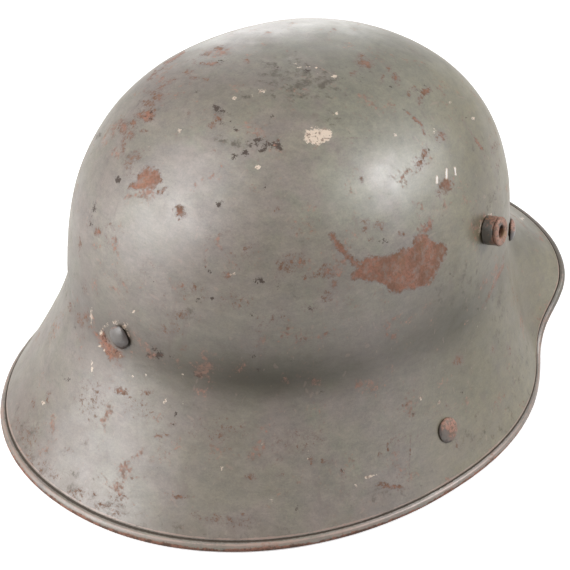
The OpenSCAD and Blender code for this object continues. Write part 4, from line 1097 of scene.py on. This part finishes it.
def shell_paint():
    n = Nodes("shell_paint")
    fine = n.noise(620, 4, 0.65)
    ragged = n.total(n.swing(n.noise(230, 4, 0.62), 1.5), n.swing(fine, 2.4),
                     n.swing(n.noise(1700, 3, 0.6), 1.5))
    # painted shade, grime and thin scratches over the plain paint
    painted_shade = n.chain("MINIMUM", n.field("shade"), 1.0)
    grime = n.ramp(n.total(n.field("grime"), n.swing(n.noise(190, 6, 0.75), 3.2)), 0.35, 1.0, 0, 0.85)
    scratch = n.most(n.ramp(n.noise(500, 1, 0.5, n.stretch(1, 0.05, 0.35)), 0.735, 0.77),
                     n.ramp(n.noise(460, 1, 0.5, n.stretch(0.06, 1, 0.5)), 0.735, 0.77))
    colour = n.blend(n.times(painted_shade, 0.88), paint_base(n), SHADE)
    colour = n.blend(grime, colour, GRIME)
    colour = n.blend(n.times(scratch, 0.25), colour, LINE_PINK)
    # rust: a stained fringe, then the crust with its own mottling, and specks all over
    hidden_rust = n.times(n.ramp(n.noise(17, 5, 0.62, distortion=0.3), 0.58, 0.78), n.field("unseen"))
    rust = n.most(n.field("rust"), hidden_rust)
    near_rust = n.times(ragged, n.ramp(rust, 0.02, 0.30))
    stain = n.ramp(n.total(rust, n.times(near_rust, 0.6)), 0.10, 0.55, 0, 0.6)
    mottling = n.ramp(n.noise(320, 4, 0.7), 0.36, 0.56, 0.5, 0.97)
    crust = n.times(n.ramp(n.total(rust, near_rust), 0.42, 0.80), mottling)
    cluster = n.ramp(n.noise(26, 3, 0.6), 0.40, 0.66, 0.0, 0.10)
    specks = n.ramp(n.total(n.noise(560, 5, 0.68), cluster), 0.67, 0.77, 0, 0.5)
    colour = n.blend(stain, colour, STAIN)
    colour = n.blend(n.most(crust, specks), colour, rust_tones(n, rust))
    # chips: dark ones, pale ones with rusty dots, and a few white scratches
    dark, pale = n.field("dark"), n.field("pale")
    near_dark = n.times(n.minus(ragged, 0.06), n.ramp(dark, 0.02, 0.3))
    near_pale = n.times(ragged, n.ramp(pale, 0.02, 0.3, 0, 0.8))
    pale_tone = n.blend(n.ramp(n.noise(520, 4, 0.75), 0.52, 0.58, 0, 0.85), CHIP_PALE, RUST_DEEP)
    pale_tone = n.blend(n.ramp(pale, 1.25, 1.5), pale_tone, SCRATCH_WHITE)
    dark_chip = n.ramp(n.total(dark, near_dark), 0.40, 0.72, 0, 0.84)
    pale_chip = n.ramp(n.total(pale, near_pale), 0.42, 0.62)
    colour = n.blend(dark_chip, colour, CHIP_AND_SHADE_DARK)
    colour = n.blend(pale_chip, colour, pale_tone)
    # painted highlights and painted shade along the rolled rim, with its rust
    colour, rim_wear_and_shade = rim_marks_and_painted_light(n, colour, fine)
    # marks are rougher and duller than the paint, the painted shade dulls the gloss too, rust stands up and
    # chips lie deeper
    marks = n.most(crust, dark_chip, n.times(grime, 0.7), rim_wear_and_shade)
    rough = n.total(n.ramp(n.noise(75, 4, 0.62, distortion=0.3), 0.3, 0.7, 0.40, 0.48), n.times(marks, 0.30))
    clean = n.minus(1.0, n.times(n.most(marks, n.times(painted_shade, 0.85)), 0.75))
    gloss = n.times(n.total(n.swing(n.noise(120, 6, 0.85, n.stretch(1, 1, 1.6)), 0.8), 0.96), clean)
    height = n.total(n.times(n.noise(2600, 2, 0.5), 0.12), n.times(n.noise(700, 5, 0.75), 0.25),
                     n.times(crust, n.total(n.noise(1100, 4, 0.6), 0.1)))
    height = n.minus(height, n.times(n.most(dark_chip, pale_chip), 0.55))
    return n.finish(Base_Color=colour, Roughness=rough, Metallic=0.0, Specular_IOR_Level=gloss, IOR=PAINT_IOR,
                    Normal=n.bump(height, 0.32, 0.00022))


def worn_metal(name, tone, other, rust_share, rough=0.45, metallic=0.0):
    """Steel that has kept some paint, with its marks from point fields: rust, with a painted highlight on
    some, a painted sheen, dark marks with painted shade, and ochre.
    """
    n = Nodes(name)
    patchy = n.noise(240, 5, 0.6)
    ragged = n.swing(n.noise(650, 4, 0.65), 1.1)
    rust = n.ramp(n.noise(420, 6, 0.68), 1 - rust_share - 0.08, 1 - rust_share + 0.08)
    # pink marks are rust, some with a painted highlight
    rust_and_highlight_parts = n.most(n.field("pink"), n.field("mouth"), n.field("bore"))
    rust = n.most(rust, n.ramp(n.total(rust_and_highlight_parts, ragged), 0.40, 0.62, 0, 0.9))
    # grey marks are a painted sheen, and the dark marks carry painted shade
    limits = (("grey", 0.62, 0.85), ("dark_and_shade", 0.60, 0.9), ("ochre", 0.60, 1.0))
    grey, dark_and_shade, ochre = (n.ramp(n.total(n.field(mark), ragged), 0.42, high, 0, share)
                          for mark, high, share in limits)
    rust_tone = n.blend(n.ramp(n.noise(800, 3, 0.6), 0.38, 0.62), RUST_AND_HIGHLIGHT_PINK, RUST_DEEP)
    colour = n.blend(n.ramp(patchy, 0.4, 0.6), tone, other)
    for share, mark_tone in ((rust, rust_tone), (grey, SHEEN_GREY), (dark_and_shade, CHIP_AND_SHADE_DARK), (ochre, RUST_OCHRE)):
        colour = n.blend(share, colour, mark_tone)
    crust = n.most(rust, ochre)
    roughness = n.total(n.ramp(patchy, 0.3, 0.7, rough - 0.08, rough + 0.08), n.times(crust, 0.2))
    height = n.total(n.noise(1200, 3, 0.6), n.times(crust, 0.7))
    return n.finish(Base_Color=colour, Roughness=roughness, Metallic=metallic, Specular_IOR_Level=0.8,
                    Normal=n.bump(height, 0.35, 0.00012))


def leather_material(name, tone, dark_tone):
    """Creased leather with worn patches."""
    n = Nodes(name)
    cells = n.put_all(n.add("TexVoronoi", feature="DISTANCE_TO_EDGE"), {"Vector": n.coords, "Scale": 900})
    creases = n.ramp(cells.outputs["Distance"], 0.0, 0.12)
    worn = n.noise(60, 5, 0.62)
    colour = n.blend(n.ramp(worn, 0.36, 0.66), tone, dark_tone)
    colour = n.blend(n.ramp(n.noise(700, 4, 0.6), 0.4, 0.8, 0, 0.35), colour, dark_tone)
    height = n.total(n.times(creases, 0.7), n.times(worn, 0.8))
    return n.finish(Base_Color=colour, Roughness=n.ramp(worn, 0.3, 0.7, 0.52, 0.7),
                    Normal=n.bump(height, 0.45, 0.0003))


def cloth_material(name, tone, other):
    """Plain weave, stained in patches."""
    n = Nodes(name)
    values = {"Vector": n.coords, "Scale": 420, "Distortion": 0.6}
    threads = [n.put_all(n.add("TexWave", wave_type="BANDS", bands_direction=way), values) for way in "XZ"]
    weave = n.times(*(thread.outputs["Fac"] for thread in threads))
    colour = n.blend(n.ramp(n.noise(45, 4, 0.6), 0.35, 0.68), tone, other)
    colour = n.blend(n.ramp(weave, 0.1, 0.9, 0.25, 0), colour, other, "MULTIPLY")
    return n.finish(Base_Color=colour, Roughness=0.9, Sheen_Weight=0.3, Normal=n.bump(weave, 0.5, 0.0003))


def set_material(piece, material):
    piece.data.materials.clear()
    piece.data.materials.append(material)


def dress(names, material):
    """Gives a material to nodes that show their plain solids."""
    for name in names:
        set_material(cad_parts[name], material)


# Floor, world and lamps
WORLD_FILL = 0.06        # light from all round on the object
FLOOR_SIZE, FLOOR_Z = 8, -0.0002
FLOOR_BOUNCE = 0.15      # tone of the floor where it lights the object
FLOOR_SEEN = 0.90        # tone of the floor where it is looked at
FLOOR_GLOW = 0.55        # rises to 1 between these distances from the helmet
GLOW_FROM, GLOW_TO = 0.5, 1.8
LAMP_TARGET_Z = 0.09


def make_stage():
    bpy.ops.mesh.primitive_plane_add(size=FLOOR_SIZE, location=(0, 0, FLOOR_Z))
    floor = bpy.context.object
    floor.name = "floor"
    n = Nodes("floor_paper")
    seen = n.seen_rays()
    reach = n.put_all(n.add("VectorMath", operation="LENGTH"), {0: n.coords})
    glow = n.ramp(reach.outputs["Value"], GLOW_FROM, GLOW_TO, FLOOR_GLOW, 1.0)
    colour = n.blend(seen, (FLOOR_BOUNCE,) * 3, (FLOOR_SEEN,) * 3)
    tint = n.blend(n.ramp(n.noise(1.5, 2, 0.5), 0.3, 0.7, 0, 0.03), colour, (FLOOR_SEEN,) * 3)
    set_material(floor, n.finish(Base_Color=tint, Roughness=0.9, Specular_IOR_Level=0.1,
                                 Emission_Color=(1.0, 1.0, 1.0), Emission_Strength=n.times(seen, glow)))


def make_world():
    """White where it is looked at, and a faint fill on the object."""
    n = Nodes("studio", "World")
    fill, white = (n.put_all(n.add("Background"), {"Color": (1.0, 1.0, 1.0), "Strength": strength}).outputs[0]
                   for strength in (WORLD_FILL, 1.0))
    n.put(n.out.inputs[0], n.put_all(n.add("MixShader"), {0: n.seen_rays(), 1: fill, 2: white}).outputs[0])
    bpy.context.scene.world = n.owner


# Square lamps: name, direction in the camera's own axes, distance and side in metres, light
LAMPS = (
    ("left_low_box", (-0.95, 0.05, 0.27), 1.3, 0.70, 1.2),
    ("left_front_box", (-0.74, 0.12, 0.66), 1.3, 0.60, 1.25),
    ("left_high_box", (-0.58, 0.56, 0.59), 1.3, 1.00, 1.7),
    ("right_box", (0.85, 0.38, 0.36), 1.3, 0.90, 1.2),
    ("right_small_box", (0.83, 0.38, 0.40), 1.3, 0.50, 1.5),
    ("rear_box", (-0.03, 0.66, -0.75), 1.6, 0.60, 0.6),
)


def make_lamps():
    for name, (right, up, back), distance, size, light in LAMPS:
        data = bpy.data.lights.new(name, "AREA")
        data.shape = "SQUARE"
        data.size = size
        data.energy = light * math.pi * distance ** 2
        lamp = place_new(name, data)
        way = Vector(RIGHT * right + UP * up + BACK * back).normalized()
        lamp.location = Vector((0, WIDEST_Y * MM, LAMP_TARGET_Z)) + way * distance
        lamp.rotation_mode = "QUATERNION"
        lamp.rotation_quaternion = way.to_track_quat("Z", "Y")


# The dressed helmet
make_camera()
bpy.context.scene.view_settings.view_transform = "Standard"

shell = stand_in(build_shell(), "shell", "helmet")
set_material(shell, shell_paint())

lug_paint = worn_metal("lug_paint", (0.060, 0.054, 0.041), (0.088, 0.074, 0.058), 0.36)
for lug in make_lugs():
    set_material(lug, lug_paint)

rivet_steel = worn_metal("rivet_steel", (0.045, 0.036, 0.031), (0.085, 0.075, 0.068), 0.33, 0.36)
for name, angle, marks, squareness in (("liner_rivet_rear", 0, REAR_RIVET_MARKS, 2.5),
                                       ("liner_rivet_right", FRONT_RIVET_ANGLE, FRONT_RIVET_MARKS, 2.0),
                                       ("liner_rivet_left", -FRONT_RIVET_ANGLE, None, 2.0)):
    set_material(split_rivet(name, angle, liner_z(angle), marks, squareness), rivet_steel)

rivet_paint = worn_metal("rivet_paint", (0.110, 0.088, 0.070), (0.150, 0.095, 0.072), 0.42)
set_material(domed_rivet("chinstrap_rivet_right", 1, CHIN_RIVET_MARKS), rivet_paint)
set_material(domed_rivet("chinstrap_rivet_left", -1, None), rivet_paint)

dress(["liner_washer_rear", "liner_washer_right", "liner_washer_left", "chinstrap_lug_right",
       "chinstrap_lug_left", "band_rivets", "pad_rivets"],
      worn_metal("inner_steel", (0.2, 0.185, 0.165), (0.13, 0.12, 0.11), 0.38, 0.42, 0.8))
dress(["liner_band"], worn_metal("band_paint", (0.13, 0.13, 0.105), (0.17, 0.165, 0.14), 0.36, 0.6))
dress(["strap_clip_right", "strap_clip_left", "buckle_right", "buckle_left"],
      worn_metal("strap_metal", (0.24, 0.23, 0.21), (0.16, 0.15, 0.135), 0.36, 0.4, 0.85))

pad_leather = leather_material("pad_leather", (0.16, 0.075, 0.035), (0.07, 0.034, 0.018))
cushion_cloth = cloth_material("cushion_cloth", (0.5, 0.43, 0.31), (0.36, 0.3, 0.21))
for seed, spot in enumerate(("front", "rear_right", "rear_left")):
    set_material(make_pad("leather_" + spot, "pad_" + spot, 80 + 5 * seed), pad_leather)
    set_material(make_cushion("cushion_bag_" + spot, "cushion_" + spot), cushion_cloth)
set_material(make_strap(), leather_material("strap_leather", (0.11, 0.052, 0.026), (0.045, 0.024, 0.014)))

make_stage()
make_world()
make_lamps()
